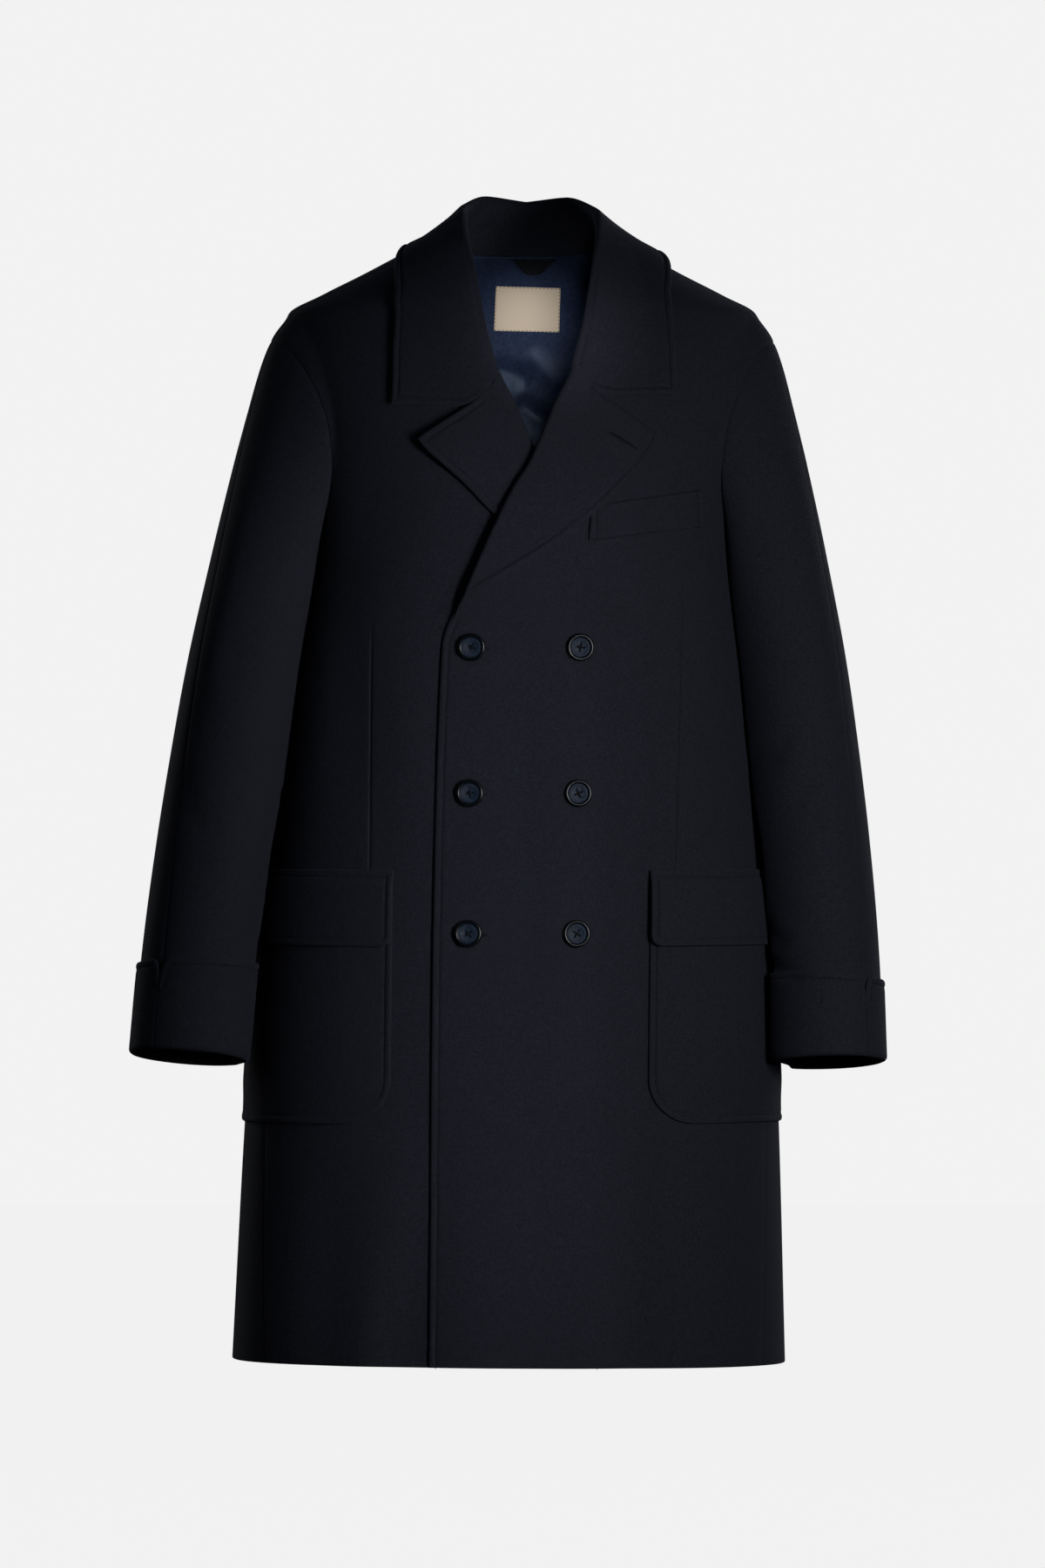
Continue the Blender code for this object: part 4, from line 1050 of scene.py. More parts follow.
def collar_section(place):
    """Points across the collar at a station: up the stand, round the roll and down the fall."""
    side, u = (1 if place >= 0 else -1), abs(place)
    rise = side * smooth(STATIONS, SIDE_Z, u)
    roll_z = smooth(STATIONS, ROLL_Z, u) + rise
    front = step(*FRONT_FADE, u)
    across = smooth(STATIONS, ROLL_X, u) + side * NECK_SHIFT
    raised = front_lift(side, across, roll_z) + ROLL_OVER
    raised = raised + front_depth(across, roll_z) - front_depth(smooth(STATIONS, ROLL_X, u), roll_z - rise)
    roll = np.array([side * across + centre(roll_z), smooth(STATIONS, ROLL_Y, u) - front * raised, roll_z])
    seam_turn, seam_z = neck_seam(side, u)
    seam = on_form(side, seam_turn, seam_z, front * front_lift(side, across, seam_z) - CLOTH, hung=False)
    seam[0] += NECK_SHIFT * (1 - step(*SHIFT_ROUND, u)) * (u < SHIFT_END)
    edge_z = smooth(STATIONS, EDGE_Z, u) + rise
    edge = on_form(side, smooth(STATIONS, EDGE_TURN, u), edge_z, COLLAR_LIFT, hung=False)
    edge[0] += NECK_SHIFT
    fall, stand = edge - roll, seam - roll
    down = unit(unit(fall) + unit(stand))
    out = unit(fall) - unit(stand)
    out = unit(out - down * (out @ down))
    seam = seam + unit(roll - seam) * STAND_GAP
    middle = roll + down * COLLAR_RADIUS
    turned = middle + COLLAR_RADIUS * (np.sin(BEND)[:, None] * out - np.cos(BEND)[:, None] * down)
    size = np.linalg.norm(fall)
    normal = facing(edge)
    slope = roll - edge
    slope = unit(slope - normal * (slope @ normal))
    drop = np.array([0, 0, END_DROP]) * step(*END_FADE, u)
    hold = [turned[-1], turned[-1] + down * size * LEAF_HOLD + drop]
    hold += [edge + slope * size * LEAF_HOLD + normal * LEAF_RISE, edge]
    t = np.linspace(0, 1, 40)[1:, None]
    leaf = hold[0] * (1 - t) ** 3 + 3 * hold[1] * t * (1 - t) ** 2
    leaf = leaf + 3 * hold[2] * t * t * (1 - t) + hold[3] * t ** 3
    leaf[:, 2] += NOTCH_BOW * step(*NOTCH_FADE, u) * bow(t[:, 0], NOTCH_TOP)
    under = front_lift(side, from_centre(side, leaf[:, 0], leaf[:, 2]), leaf[:, 2])
    under = np.where(leaf[:, 1] < 0, under, 0.0)
    leaf = push_out(leaf, under + COLLAR_CLOTH + LAY + COLLAR_EASE)
    stood = seam + (turned[0] - seam) * np.linspace(0, 1, 12)[:-1, None]
    return np.concatenate([stood, turned, leaf])


print("points across the collar:", len(collar_section(0.0)))

# %% Lay the collar
last = len(COLLAR) - 1
grid = np.array([collar_section(place) for place in np.linspace(-last, last, 181)])
grid = relaid(grid, 1, COLLAR_PITCH[1], SEAM_LINES, EDGE_LINES)
grid = relaid(grid, 0, COLLAR_PITCH[0], EDGE_LINES, EDGE_LINES)
runs = run_along(grid, 1)
notch = int(np.argmax(runs[0] > runs[0, -1] - COLLAR_NOTCH))
crease = stroke(grid[..., 0], grid[..., 2], *STAND_CREASE) * (1 - step(*CREASE_FADE, runs))
shell("collar", grid, COLLAR_CLOTH, wool, True, [("r", None, None), ("b", notch, None), ("t", notch, None)],
      crease)

# %% [markdown]
# ## Sleeves and cuffs
# A sleeve is cut in two halves, with a seam along the outer arm and one under the arm. Its head is turned
# in under the body at the seam. The cuff is the sleeve's end turned up over itself: it goes round a fold at
# the mouth and has a notch with two round lobes on the outer seam. A modelled fold could be bent with a
# curve, but the sleeve's own points, moved out and back in, give it the same creases.

# %% Lay the sleeves
HALVES = (("front", 0.0, 1.0), ("back", 360.0, -1.0))
SLEEVE_GAP = 0.02       # half the seam between the sleeve's halves, in degrees
SEAM_ALLOWANCE, LEAST_ALLOWANCE = 0.007, 0.0015     # share of the sleeve turned in under the body
DEEP_SEAM = (0.004, 0.010)      # shares over which the whole allowance comes in
TUCK, TUCK_MORE, TUCK_FADE = 0.35, 1.65, (-0.001, 0.003)    # how far under, and the shares over which it ends
SLEEVE_END, SLEEVE_PITCH = 0.992, 4.6
rings = np.concatenate([np.linspace(0, 0.02, 12), np.linspace(0.02, 1, 150)[1:]])[:, None]
for side, name in SIDES:
    for half, whole, way in HALVES:
        seam = whole + smooth(SLEEVE_SEAM, 1, rings) + way * SLEEVE_GAP
        turns = seam + (180 - way * SLEEVE_GAP - seam) * np.linspace(0, 1, 60)[None]
        sewn = seam_share(side, turns)
        deep = step(*DEEP_SEAM, sewn)
        first = sewn - LEAST_ALLOWANCE - (SEAM_ALLOWANCE - LEAST_ALLOWANCE) * deep
        share = first + (SLEEVE_END - first) * rings
        tucked = 1 - step(sewn + TUCK_FADE[0], sewn + TUCK_FADE[1], share)
        grid = sleeve_face(side, turns, share, -(TUCK + TUCK_MORE * deep) * tucked)
        for axis in (0, 1):
            grid = relaid(grid, axis, SLEEVE_PITCH, SEAM_LINES, SEAM_LINES)
        shell("sleeve_" + half + "_" + name, grid, CLOTH, wool, (side < 0) != (way < 0), lining=satin,
              soft="", seams="lr")

# %% Turn back the cuffs
NOTCH_HALF, NOTCH_DEPTH = 9.0, 22.0
CUFF_DEGREE = 0.96      # millimetres round the cuff in a degree
CUFF_SEAM, CUFF_GAP = 0.93, 0.25        # share of the sleeve whose seam it follows, half the gap in degrees
FOLD_RADIUS = 3.6       # of the fold at the mouth
TURN_IN = 14.0          # how far the cuff goes up inside the sleeve
CUFF_PITCH = (2.2, 2.8)     # even steps of the grid: up, round


def cuff_grid(side, whole, way):
    seam = whole + smooth(SLEEVE_SEAM, 1, CUFF_SEAM) + way * CUFF_GAP
    under = 180 - way * CUFF_GAP
    round_notch = np.linspace(0, 1, 30) ** 1.6 * NOTCH_HALF / CUFF_DEGREE
    beyond = np.linspace(round_notch[-1], abs(under - seam), 70)[1:]
    turns = seam + way * np.concatenate([round_notch, beyond])
    dip = np.clip(1 - np.abs(turns - seam) * CUFF_DEGREE / NOTCH_HALF, 0, 1)
    mouth, _, height, outer_rise = CUFFS[side]
    top = height + outer_rise * np.cos(np.radians(turns)) - NOTCH_DEPTH * (1 - np.sqrt(1 - dip * dip))
    length = arm_edge(side, turns)[1] - mouth
    lift = LAY + CLOTH
    rows = [sleeve_face(side, turns, 1 - (FOLD_RADIUS + (top - FOLD_RADIUS) * s) / length, lift)
            for s in np.linspace(1, 0, 46)]
    bend = np.radians(np.linspace(0, 180, 15))[1:]
    reach_in = lift - FOLD_RADIUS
    for a in bend:
        low = (FOLD_RADIUS - FOLD_RADIUS * np.sin(a)) / length
        rows.append(sleeve_face(side, turns, 1 - low, reach_in + FOLD_RADIUS * np.cos(a)))
    for up in np.linspace(0, TURN_IN, 8)[1:]:
        rows.append(sleeve_face(side, turns, 1 - (FOLD_RADIUS + up) / length, reach_in - FOLD_RADIUS))
    return np.array(rows)


for side, name in SIDES:
    for half, whole, way in HALVES:
        grid = relaid(cuff_grid(side, whole, way), 0, CUFF_PITCH[0], EDGE_LINES, np.zeros(1))
        grid = relaid(grid, 1, CUFF_PITCH[1], SEAM_LINES, SEAM_LINES)
        shell("cuff_" + half + "_" + name, grid, CLOTH, wool, (side < 0) != (way < 0), all_of("b"),
              soft="bt", seams="lr")

# %% [markdown]
# ## Pockets, flaps and welt
# The patch pockets and their flaps lie on the fronts and run round the side onto the back. Each is made
# from the front's own points, moved out, so it follows the folds beneath. The pocket is sewn down at
# its sides and bottom, so there it sinks to the panel, and its middle stands a little proud.

# %% A grid that lies on the front
POCKET_EDGE, POCKET_END = 114.0, 14.0
POCKET_BOTTOM, POCKET_TOP, POCKET_CORNER = -776.0, -570.0, 40.0
FLAP_BOTTOM, FLAP_TOP, FLAP_CORNER, FLAP_BEND = -619.0, -552.0, 9.0, 57.0
WELT_TOP = np.array([(54, -231), (156, -215)])
WELT_BOTTOM = np.array([(52, -261), (158, -247)])
WELT_OVER = 2.5         # height of its face over the front
LAID_COLUMNS, LAID_WIDTH = 70, 200      # points across a pocket or flap, and its rough width round the side
POCKET_OVER, POCKET_PROUD = 0.1, 1.6    # heights of its face over the cloth beneath
PROUD_IN, PROUD_UP = (4, 40), (0, 40)   # distances from the edge, and from the bottom, over which it rises
FLAP_OVER, FLAP_PROUD, FLAP_CURL = 0.6, 1.2, 30     # the same, and how far below its bend it has risen
FLAP_TURN = (-4, 8)     # heights from its bend over which it comes down to the panel
POCKET_PITCH, FLAP_PITCH, WELT_PITCH = (3.6, 3.6), (2.8, 3.6), (1.4, 2.0)   # even steps: up, across


def corner(height, radius):
    """How far a rounded corner draws an edge in, at a height over the bottom."""
    up = np.clip(1 - height / radius, 0, 1)
    return radius * (1 - np.sqrt(1 - up * up))


def laid_on_front(side, bottom, top, radius, wider, over):
    """A grid over front and side, with two rounded lower corners; over gives its height on the panel."""
    ups = (top - bottom) * np.linspace(0, 1, 90) ** 1.5
    rows = []
    for up in ups:
        z = bottom + up
        inset = corner(up, radius)
        first = front_turn(POCKET_EDGE - wider + inset, z)
        last = POCKET_END - degrees_for(inset - wider, POCKET_END, z)
        turns = np.linspace(first, last, LAID_COLUMNS)
        across = from_centre(side, on_form(side, turns, z, hung=False)[..., 0], z)
        inside = np.minimum(np.linspace(0, 1, LAID_COLUMNS), np.linspace(1, 0, LAID_COLUMNS)) * LAID_WIDTH
        high = front_lift(side, across, z) + over(up, np.minimum(inside, up))
        rows.append(on_form(side, turns, np.full(LAID_COLUMNS, z), high))
    return np.array(rows)


print("a pocket's corner draws its edge in by", float(corner(0.0, POCKET_CORNER)), "mm")


# %% Lay pockets and flaps
def pocket_height(up, inside):
    return CLOTH + POCKET_OVER + POCKET_PROUD * step(*PROUD_IN, inside) * step(*PROUD_UP, up)


def flap_height(up, inside):
    layers = 2 - step(FLAP_BEND + FLAP_TURN[0], FLAP_BEND + FLAP_TURN[1], up)
    return (LAY + CLOTH) * layers + FLAP_OVER + FLAP_PROUD * step(0, FLAP_CURL, FLAP_BEND - up)


for side, name in SIDES:
    grid = laid_on_front(side, POCKET_BOTTOM, POCKET_TOP, POCKET_CORNER, 0.0, pocket_height)
    grid = relaid(grid, 1, POCKET_PITCH[1], EDGE_LINES, EDGE_LINES)
    grid = relaid(grid, 0, POCKET_PITCH[0], EDGE_LINES, SEAM_LINES)
    shell("pocket_" + name, grid, CLOTH, wool, side < 0, all_of("lrb"))
    grid = laid_on_front(side, FLAP_BOTTOM, FLAP_TOP, FLAP_CORNER, 1.0, flap_height)
    grid = relaid(grid, 1, FLAP_PITCH[1], EDGE_LINES, EDGE_LINES)
    grid = relaid(grid, 0, FLAP_PITCH[0], EDGE_LINES, EDGE_LINES)
    shell("flap_" + name, grid, CLOTH, wool, side < 0, all_of("lrbt"))

# %% Lay the welt
share, rise = np.meshgrid(np.linspace(0, 1, 60), np.linspace(0, 1, 24))
low = WELT_BOTTOM[0] + (WELT_BOTTOM[1] - WELT_BOTTOM[0]) * share[..., None]
high = WELT_TOP[0] + (WELT_TOP[1] - WELT_TOP[0]) * share[..., None]
spots = low + (high - low) * rise[..., None]
grid = on_front(1, spots[..., 0], spots[..., 1], WELT_OVER)
grid = relaid(grid, 1, WELT_PITCH[1], EDGE_LINES, EDGE_LINES)
grid = relaid(grid, 0, WELT_PITCH[0], EDGE_LINES[:8], EDGE_LINES[:8])
shell("chest_welt", grid, CLOTH, wool, swell=all_of("lr"))

# %% [markdown]
# ## Inside the neck
# The lining shows only behind the label, at the back neck. Satin is thin and cut with ease, so it lies in
# soft crumples, and its centre seam is a narrow groove. A cloth simulation could crumple it, but a few
# strokes put each crumple in its place. The label is a plain woven piece, sewn on round its edge.

# %% Lay the lining
LINING_GAP, LINING_PITCH, LINING_COLUMNS = 2.9, 2.8, 120
LINING_ENDS = np.array([    # height, angle at which the lining ends
    (-260, 46), (-190, 48), (-140, 52), (-90, 56), (-50, 54), (-20, 36), (4, 11),
], float)
LINING_SEAM = (1.5, 0.9, -0.7)      # x, half width, depth
CRUMPLE_SHARE, CRUMPLE_FADE = 0.9, (-262, -240)
CRUMPLES = (            # x and z from, x and z to, half width, depth
    (-22, -96, 14, -112, 9, -3.4), (10, -84, 40, -118, 8, 2.2), (-40, -120, -6, -150, 10, 2.4),
    (0, -128, 30, -150, 9, -3.6), (-20, -160, 26, -176, 9, 3.0), (-50, -86, -24, -70, 8, 1.6),
    (-58, -30, -30, -22, 7, 1.4), (36, -26, 60, -40, 7, 1.6), (20, -180, -16, -215, 12, -3.0),
    (-70, -140, -40, -200, 14, -2.6), (60, -120, 52, -190, 13, 2.4),
)


def lining_place(turns, z, inward=0.0):
    """Face of the lining, which looks in at the neck."""
    return on_form(1, turns, z, -CLOTH - LINING_GAP - LINING_CLOTH - inward, hung=False)


rows = []
for z in np.concatenate([np.linspace(-260, -120, 40), np.linspace(-118, 3.5, 70)]):
    turns = 90 + (90 - smooth(LINING_ENDS, 1, z)) * np.linspace(1, -1, LINING_COLUMNS)
    rows.append(lining_place(turns, np.full(LINING_COLUMNS, z)))
grid = relaid(np.array(rows), 0, LINING_PITCH, SEAM_LINES, SEAM_LINES)
crumpled = 0.0
for line in CRUMPLES:
    crumpled = crumpled + stroke(grid[..., 0], grid[..., 2], *line)
crumpled = crumpled * step(*CRUMPLE_FADE, grid[..., 2]) * CRUMPLE_SHARE
seam = LINING_SEAM[2] * hump(grid[..., 0] - LINING_SEAM[0], LINING_SEAM[1])
shell("lining_back", grid, LINING_CLOTH, satin, relief=crumpled + seam)

# %% Lay the label
LABEL_LEFT, LABEL_RIGHT, LABEL_LOW, LABEL_HIGH, LABEL_TILT = -21.0, 39.0, -64.0, -23.0, 0.025
LABEL_MIDDLE = (LABEL_LEFT + LABEL_RIGHT) / 2
LABEL_OVER, LABEL_THICK, LABEL_PITCH = 1.5, 0.6, 1.2
x, z = np.meshgrid(np.linspace(LABEL_LEFT, LABEL_RIGHT, 60), np.linspace(LABEL_LOW, LABEL_HIGH, 40))
z = z - LABEL_TILT * (x - LABEL_MIDDLE)
grid = lining_place(-front_turn(x, z), z, LABEL_OVER)
for axis in (0, 1):
    grid = relaid(grid, axis, LABEL_PITCH, SEAM_LINES, SEAM_LINES)
shell("label", grid, LABEL_THICK, tan)

# %% Lay the hang loop
LOOP_LEFT, LOOP_RIGHT, LOOP_TOP, LOOP_DROOP = -8.0, 34.0, 3.0, -14.0
LOOP_THICK, LOOP_PITCH = 1.0, 0.9
LOOP_FOOT, LOOP_SPREAD = 0.55, 0.45     # share of its width at the foot, and what it gains to the top
LOOP_BEND = 0.35        # how far its ends bend up
LOOP_OVER, LOOP_BULGE = 2.2, 1.6        # heights over the lining, at the ends and more in the middle
across = np.linspace(-1, 1, 50)
rows = []
for up in np.linspace(0, 1, 16):
    wide = (LOOP_RIGHT - LOOP_LEFT) / 2 * across * (LOOP_FOOT + LOOP_SPREAD * up)
    x = (LOOP_LEFT + LOOP_RIGHT) / 2 + wide
    z = LOOP_TOP + LOOP_DROOP * (1 - up) * (1 - LOOP_BEND * across ** 4)
    away = LOOP_OVER + LOOP_BULGE * (1 - across ** 2) * (1 - 0.5 * up)
    rows.append(lining_place(-front_turn(x, z), z, away))
grid = relaid(np.array(rows), 0, LOOP_PITCH, SEAM_LINES[:4], SEAM_LINES[:4])
grid = relaid(grid, 1, LOOP_PITCH, SEAM_LINES, SEAM_LINES)
shell("hang_loop", grid, LOOP_THICK, ribbon)

# %% [markdown]
# ## Buttons
# Each button is turned from horn: a rounded rim, a dished middle and four holes, sewn on with crossed
# thread. The profile is turned with a Screw modifier and the holes are cut with a Boolean, as a maker
# would turn and drill it.

# %% Turn and drill a button
BUTTON_COLUMN, BUTTON_ROWS = 47.6, (-355.0, -484.0, -608.0)
BUTTON_PROFILE = (      # radius, height
    (0, 0), (8.6, 0), (10.6, 0.5), (12.0, 1.5), (12.3, 2.5), (12.0, 3.5), (11.2, 4.2), (10.2, 4.3),
    (9.4, 4.0), (8.8, 3.3), (8.2, 2.9), (7.6, 2.8), (7.2, 3.05), (6.8, 2.9), (5.0, 2.45), (2.5, 2.25),
    (0, 2.2),
)
HOLE_AT, HOLE_RADIUS, HOLE_DRILL = 1.75, 0.85, 20.0
TURNING_STEPS, TURNING_MERGE = 64, 0.01
BUTTON_TWIST = 17       # degrees by which each button is turned against the last
THREAD_LIES, THREAD_RADIUS = (-0.35, 0.0, 0.35), 0.3
THREAD_FOOT, THREAD_RISE = 1.2, 1.75    # height of a crossed thread at its ends, and how far it rises


def turned_button():
    mesh = bpy.data.meshes.new("button_turned")
    ring = [(r * MM, 0, up * MM) for r, up in BUTTON_PROFILE]
    mesh.from_pydata(ring, [(i, i + 1) for i in range(len(ring) - 1)], [])
    blank = bpy.data.objects.new("button_blank", mesh)
    COAT.objects.link(blank)
    turning = blank.modifiers.new("turning", "SCREW")
    turning.steps = turning.render_steps = TURNING_STEPS
    turning.use_merge_vertices = True
    turning.merge_threshold = TURNING_MERGE * MM
    turning.use_normal_flip = True
    drills = []
    for x in (-1, 1):
        for y in (-1, 1):
            bpy.ops.mesh.primitive_cylinder_add(
                vertices=20, radius=HOLE_RADIUS * MM, depth=HOLE_DRILL * MM,
                location=(x * HOLE_AT * MM, y * HOLE_AT * MM, 0))
            drills.append(bpy.context.object)
            cut = blank.modifiers.new("drill", "BOOLEAN")
            cut.object = drills[-1]
            cut.solver = "EXACT"
    graph = bpy.context.evaluated_depsgraph_get()
    made = bpy.data.meshes.new_from_object(blank.evaluated_get(graph))
    for old in (blank, *drills):
        bpy.data.objects.remove(old)
    made.materials.clear()
    made.materials.append(horn)
    made.shade_smooth()
    return made


button_mesh = turned_button()
print("faces of a button:", len(button_mesh.polygons))


# %% Make thread as tubes
def tube(path, radius, sides=7):
    """Points and faces of a closed tube with pinched ends along a path."""
    path = np.asarray(path, float)
    along = unit(np.gradient(path, axis=0))
    guide = np.array([0.31, 0.87, 0.38])
    one = unit(np.cross(along, guide))
    two = np.cross(along, one)
    a = np.linspace(0, 2 * np.pi, sides, endpoint=False)
    sizes = np.full(len(path), radius)
    sizes[[0, -1]] = radius * 0.3
    ring = one[:, None] * np.cos(a)[None, :, None] + two[:, None] * np.sin(a)[None, :, None]
    points = path[:, None] + ring * sizes[:, None, None]
    index = np.arange(len(path) * sides).reshape(len(path), sides)
    turned = np.roll(index, -1, axis=1)
    faces = np.stack([index[:-1], turned[:-1], turned[1:], index[1:]], -1).reshape(-1, 4).tolist()
    faces += [index[0, ::-1].tolist(), index[-1].tolist()]
    return points.reshape(-1, 3), faces


def joined(name, tubes, cloth):
    """Many tubes as one piece."""
    places, faces, count = [], [], 0
    for points, sides in tubes:
        places.append(points)
        faces += [[i + count for i in f] for f in sides]
        count += len(points)
    mesh = bpy.data.meshes.new(name)
    mesh.from_pydata((np.concatenate(places) * MM).tolist(), [], faces)
    mesh.materials.append(cloth)
    mesh.shade_smooth()
    made = bpy.data.objects.new(name, mesh)
    COAT.objects.link(made)
    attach(made, "root")
    print(f"{name}: {len(tubes)} threads, {len(mesh.polygons)} faces")
    return made


print("faces of a short thread:", len(tube([(0, 0, 0), (1, 0, 0), (2, 0, 0)], THREAD_RADIUS)[1]))

# %% Sew on the buttons
crossed = []
number = 0
for z in BUTTON_ROWS:
    for across in (-BUTTON_COLUMN, BUTTON_COLUMN):
        number += 1
        place = on_front(1, across, z)
        out = facing(place)
        twist = Matrix.Rotation(math.radians(BUTTON_TWIST * number), 4, "Z")
        stood = Matrix.Translation(Vector((place + out * LAY) * MM))
        stood = stood @ Vector(out).to_track_quat("Z", "Y").to_matrix().to_4x4() @ twist
        made = bpy.data.objects.new("button_%d_horn" % number, button_mesh)
        COAT.objects.link(made)
        made.matrix_world = stood
        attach(made, "root")
        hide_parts("button_%d" % number)
        for lie in THREAD_LIES:
            for way in (-1, 1):
                t = np.linspace(-1, 1, 11)
                height = THREAD_FOOT + THREAD_RISE * (1 - t ** 6)
                local = np.stack([t * HOLE_AT + lie, way * t * HOLE_AT - way * lie, height], -1)
                world = [stood @ Vector(p * MM) for p in local]
                crossed.append(tube(np.array(world) / MM, THREAD_RADIUS))
joined("button_thread", crossed, thread)

# %% [markdown]
# ## Sewing
# The edges of a heavy coat are held by a row of small stitches. Each stitch is a short thread that sinks
# into the cloth at both ends. They are made as one joined mesh, because there are more than a thousand.
# A buttonhole is a slit with a thread wound closely round its lips; a dark thread line laid down the slit is
# painted shade for the gap between the lips.

# %% Sew the edges
STITCH_PITCH, STITCH_LENGTH, STITCH_RADIUS = 3.6, 2.5, 0.28
STITCH_RISE, STITCH_SINK = 0.10, 1.6    # over the cloth in the middle, and how fast it sinks to the ends
LABEL_INSET, LABEL_FACE = 0.8, 1.52     # from the label's edge to its stitches, and their height


def stitches(lines):
    made = []
    for points, out in lines:
        both = spaced(np.concatenate([points, out], 1), STITCH_PITCH)
        spots, normals = both[:, :3], unit(both[:, 3:])
        along = unit(np.gradient(spots, axis=0))
        for spot, normal, way in zip(spots, normals, along):
            t = np.linspace(-0.5, 0.5, 5)[:, None]
            rise = STITCH_RISE - STITCH_SINK * t * t
            made.append(tube(spot + way * t * STITCH_LENGTH + normal * rise, STITCH_RADIUS, 4))
    return made


# A row of dark stitches along the welt's sewn bottom edge; it is real stitching and also paints the shade of
# the seam line there: painted shade.
low = np.linspace(WELT_BOTTOM[0], WELT_BOTTOM[1], 40) + np.array([0, -0.3])
SEWN.append((on_front(1, low[:, 0], low[:, 1], 0.25), facing(on_front(1, low[:, 0], low[:, 1]))))
joined("edge_stitching", stitches(SEWN), thread)
left, right = LABEL_LEFT + LABEL_INSET, LABEL_RIGHT - LABEL_INSET
low, high = LABEL_LOW + LABEL_INSET, LABEL_HIGH - LABEL_INSET
corners = [(left, low), (right, low), (right, high), (left, high)]
rows = []
for (x0, z0), (x1, z1) in zip(corners, corners[1:] + corners[:1]):
    x = np.linspace(x0, x1, 30)
    z = np.linspace(z0, z1, 30) - LABEL_TILT * (x - LABEL_MIDDLE)
    spots = lining_place(-front_turn(x, z), z, LABEL_FACE)
    rows.append((spots, -facing(spots)))
joined("label_stitching", stitches(rows), brown)


# %% Work the buttonholes
HOLE_PITCH = 0.75       # from one wound thread to the next
LIP = np.array([(0.25, 0.1), (0.7, 0.55), (1.3, 0.45), (1.6, -0.2)])    # from the slit, over the cloth
# the last radius and height are of the dark thread line that paints the shade in a buttonhole's gap
LIP_RADIUS, BAR_RADIUS, SLIT_SHADE_RADIUS = 0.36, 0.45, 0.3
BAR_HALF, BAR_OUT, BAR_OVER, SLIT_SHADE_OVER = 1.5, 0.6, 0.4, 0.35
HOLE_FROM, HOLE_TO, HOLE_SLANT = -10, 16.5, -1      # ends, from the button's middle, and drop to the second
LAPEL_HOLE = ((70, -168), (92, -181))


def buttonhole(first, second, lift):
    """Wound threads of a buttonhole on the left front or lapel, between two places on its face, and a dark
    thread line down its opening that is painted shade for the gap between the lips.
    """
    first, second = np.array(first, float), np.array(second, float)
    length = np.linalg.norm(second - first)
    along = (second - first) / length
    across = np.array([-along[1], along[0]])
    wound = []
    for way in (-1, 1):
        for t in np.arange(0, length, HOLE_PITCH):
            near = first + along * t + across * way * LIP[:, :1]
            wound.append(tube(on_front(1, near[:, 0], near[:, 1], lift + LIP[:, 1]), LIP_RADIUS, 5))
    for end, way in ((first, -1), (second, 1)):
        bar = end + along * way * BAR_OUT + across * np.linspace(-BAR_HALF, BAR_HALF, 7)[:, None]
        wound.append(tube(on_front(1, bar[:, 0], bar[:, 1], lift + BAR_OVER), BAR_RADIUS, 5))
    # a dark thread line down the opening: painted shade for the gap between the lips
    slit_shade = first + along * np.linspace(0, length, 20)[:, None]
    return wound, tube(on_front(1, slit_shade[:, 0], slit_shade[:, 1], lift + SLIT_SHADE_OVER), SLIT_SHADE_RADIUS, 5)


holes = [buttonhole((HOLE_FROM - BUTTON_COLUMN, z), (HOLE_TO - BUTTON_COLUMN, z + HOLE_SLANT), 0.0)
         for z in BUTTON_ROWS]
holes.append(buttonhole(*LAPEL_HOLE, LAPEL_LEVEL + 1.0))
joined("buttonholes", [thread_round for wound, _ in holes for thread_round in wound], wool)
# the dark lines down the buttonholes' openings, which are painted shade
joined("buttonhole_slit_shade", [slit_shade for _, slit_shade in holes], thread)

# %% [markdown]

# %% [markdown]
# ## The studio
# The coat stands over a pale floor in a pale room, with a soft light close by on the right, a tall narrow
# one beside it for the far front, a weak one on the left, two behind and two small ones for the neck. The
# room looks brighter to the camera than it lights the coat, as a separately lit backdrop does. The camera
# is far away and level, with a long lens, so that the coat shows hardly any perspective.

# %% Floor and room
FLOOR, FLOOR_RADIUS, FLOOR_CORNERS = -1.30, 12, 64
PALE = 0.888            # brightness of floor and room to the camera
mesh = bpy.data.meshes.new("pale_floor")
turns = np.linspace(0, 2 * math.pi, FLOOR_CORNERS, endpoint=False)
corners = [(FLOOR_RADIUS * math.cos(a), FLOOR_RADIUS * math.sin(a), FLOOR) for a in turns]
mesh.from_pydata(corners, [], [list(range(FLOOR_CORNERS))])
floor = bpy.data.objects.new("pale_floor", mesh)
bpy.context.scene.collection.objects.link(floor)
paper = bpy.data.materials.new("pale_paper")
paper.use_nodes = True
tree = paper.node_tree
surface = tree.nodes["Principled BSDF"]
surface.inputs["Base Color"].default_value = (0.02, 0.02, 0.02, 1)
surface.inputs["Roughness"].default_value = 0.9
surface.inputs["Specular IOR Level"].default_value = 0.0
surface.inputs["Emission Strength"].default_value = PALE - 0.01
seen = add(tree, "ShaderNodeLightPath")
tree.links.new(seen.outputs["Is Camera Ray"], surface.inputs["Emission Color"])
mesh.materials.append(paper)

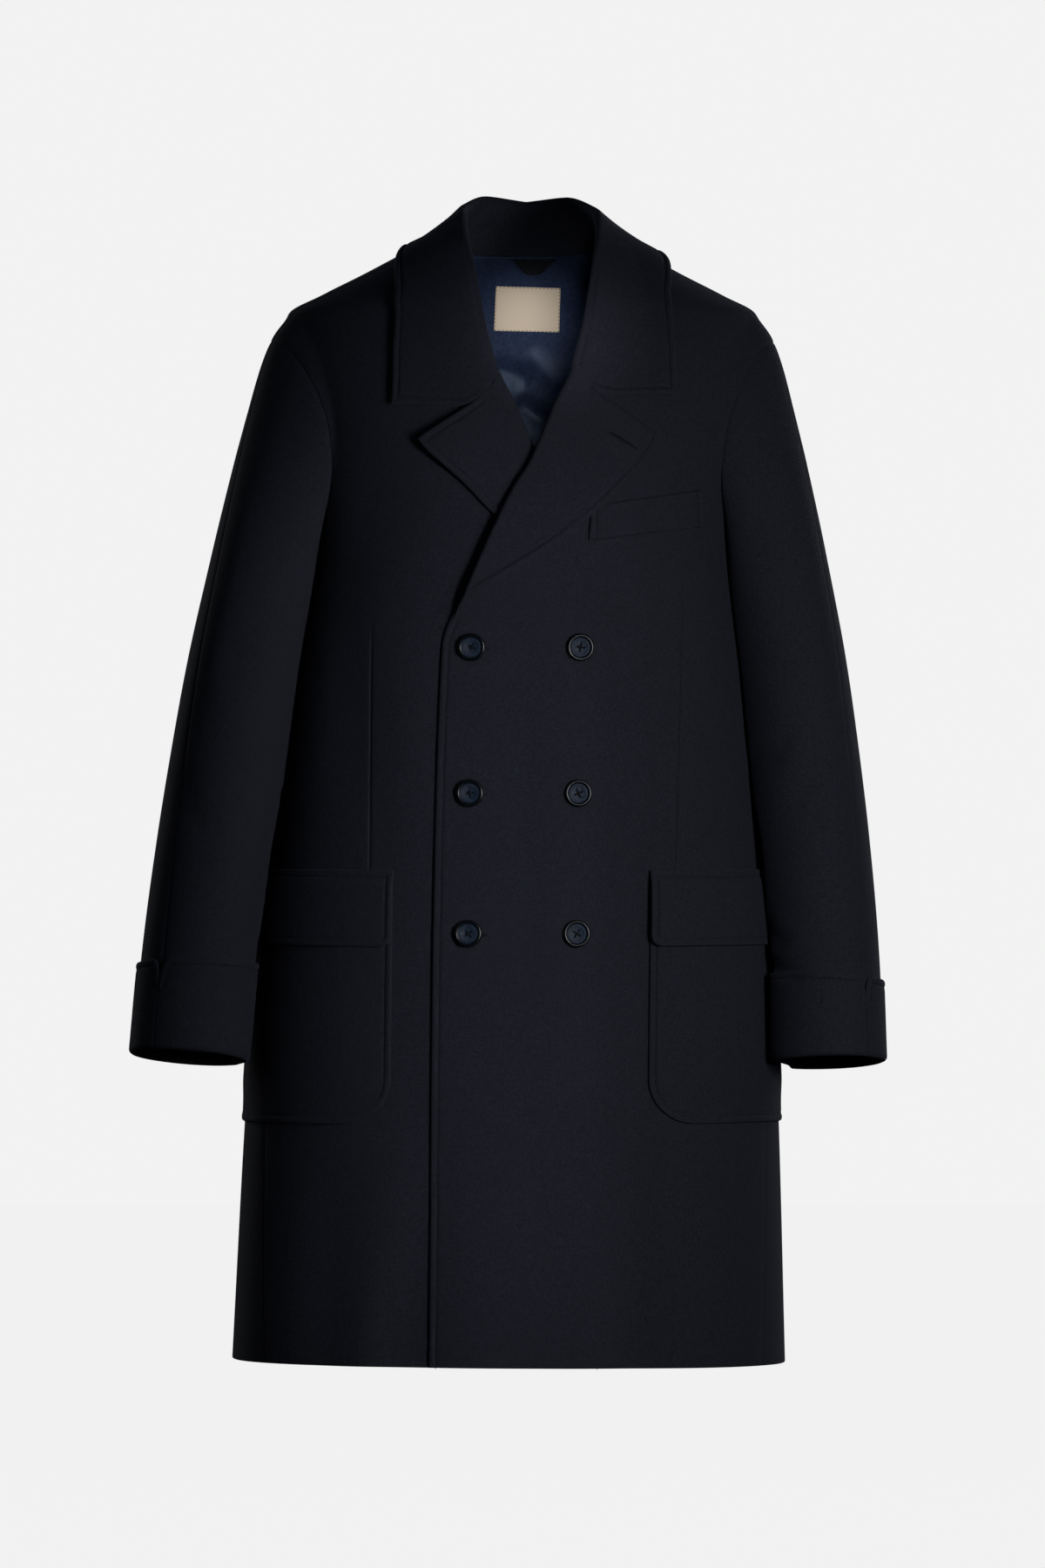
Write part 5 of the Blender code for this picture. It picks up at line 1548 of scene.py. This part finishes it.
room = bpy.data.worlds.new("pale_room")
bpy.context.scene.world = room
room.use_nodes = True
tree = room.node_tree
seen = add(tree, "ShaderNodeLightPath")
shown = mixed(tree, seen.outputs["Is Camera Ray"], (0.030, 0.036, 0.048, 1), (PALE, PALE, PALE, 1))
tree.links.new(shown, tree.nodes["Background"].inputs["Color"])
print("floor at", FLOOR, "m, brightness", PALE)


# %% Lights
def soft_light(name, place, aim, width, height, watts, spread):
    lamp = bpy.data.lights.new(name, "AREA")
    lamp.spread = math.radians(spread)
    lamp.shape = "RECTANGLE"
    lamp.size, lamp.size_y = width, height
    lamp.energy = watts
    made = bpy.data.objects.new(name, lamp)
    made.location = place
    made.rotation_euler = (Vector(aim) - Vector(place)).to_track_quat("-Z", "Y").to_euler()
    bpy.context.scene.collection.objects.link(made)


LIGHTS = (              # name, place, aim, width, height, watts, spread in degrees
    ("key", (0.72, -1.3, -0.4), (0, 0, -0.6), 0.35, 0.35, 8.8, 180),
    ("strip", (0.5, -1.3, -0.55), (-0.13, 0, -0.58), 0.1, 0.9, 0.17, 18),
    ("left", (-2.2, -1.2, -0.3), (0, 0, -0.5), 1.2, 1.2, 0.35, 180),
    ("behind_left", (-2.2, 2.6, 0.3), (0, 0, -0.5), 1.6, 2.0, 12, 180),
    ("behind_right", (2.2, 2.6, 0.3), (0, 0, -0.5), 1.6, 2.0, 12, 180),
    ("snoot", (0.055, -0.42, -0.06), (0, 0.09, -0.08), 0.03, 0.03, 0.02, 34),
    ("neck", (0.008, -0.02, -0.065), (0.004, 0.09, -0.06), 0.03, 0.03, 0.008, 62),
)
for light in LIGHTS:
    soft_light(*light)
print("lights:", len(LIGHTS))

# %% Camera
YAW, AWAY, AIM_Z = math.radians(-2.75), 10.0, -0.4758
SEEN_HEIGHT = 1.404     # what the picture's long side takes in at the coat
SENSOR = 36
lens = bpy.data.cameras.new("portrait")
lens.sensor_width = SENSOR
lens.lens = SENSOR * AWAY / SEEN_HEIGHT
lens.clip_end = 100
camera = bpy.data.objects.new("portrait", lens)
camera.location = (AWAY * math.sin(YAW), -AWAY * math.cos(YAW), AIM_Z)
camera.rotation_euler = (math.pi / 2, 0, YAW)
bpy.context.scene.collection.objects.link(camera)
bpy.context.scene.camera = camera
bpy.context.scene.view_settings.view_transform = "Standard"
print("camera", [round(v, 3) for v in camera.location])
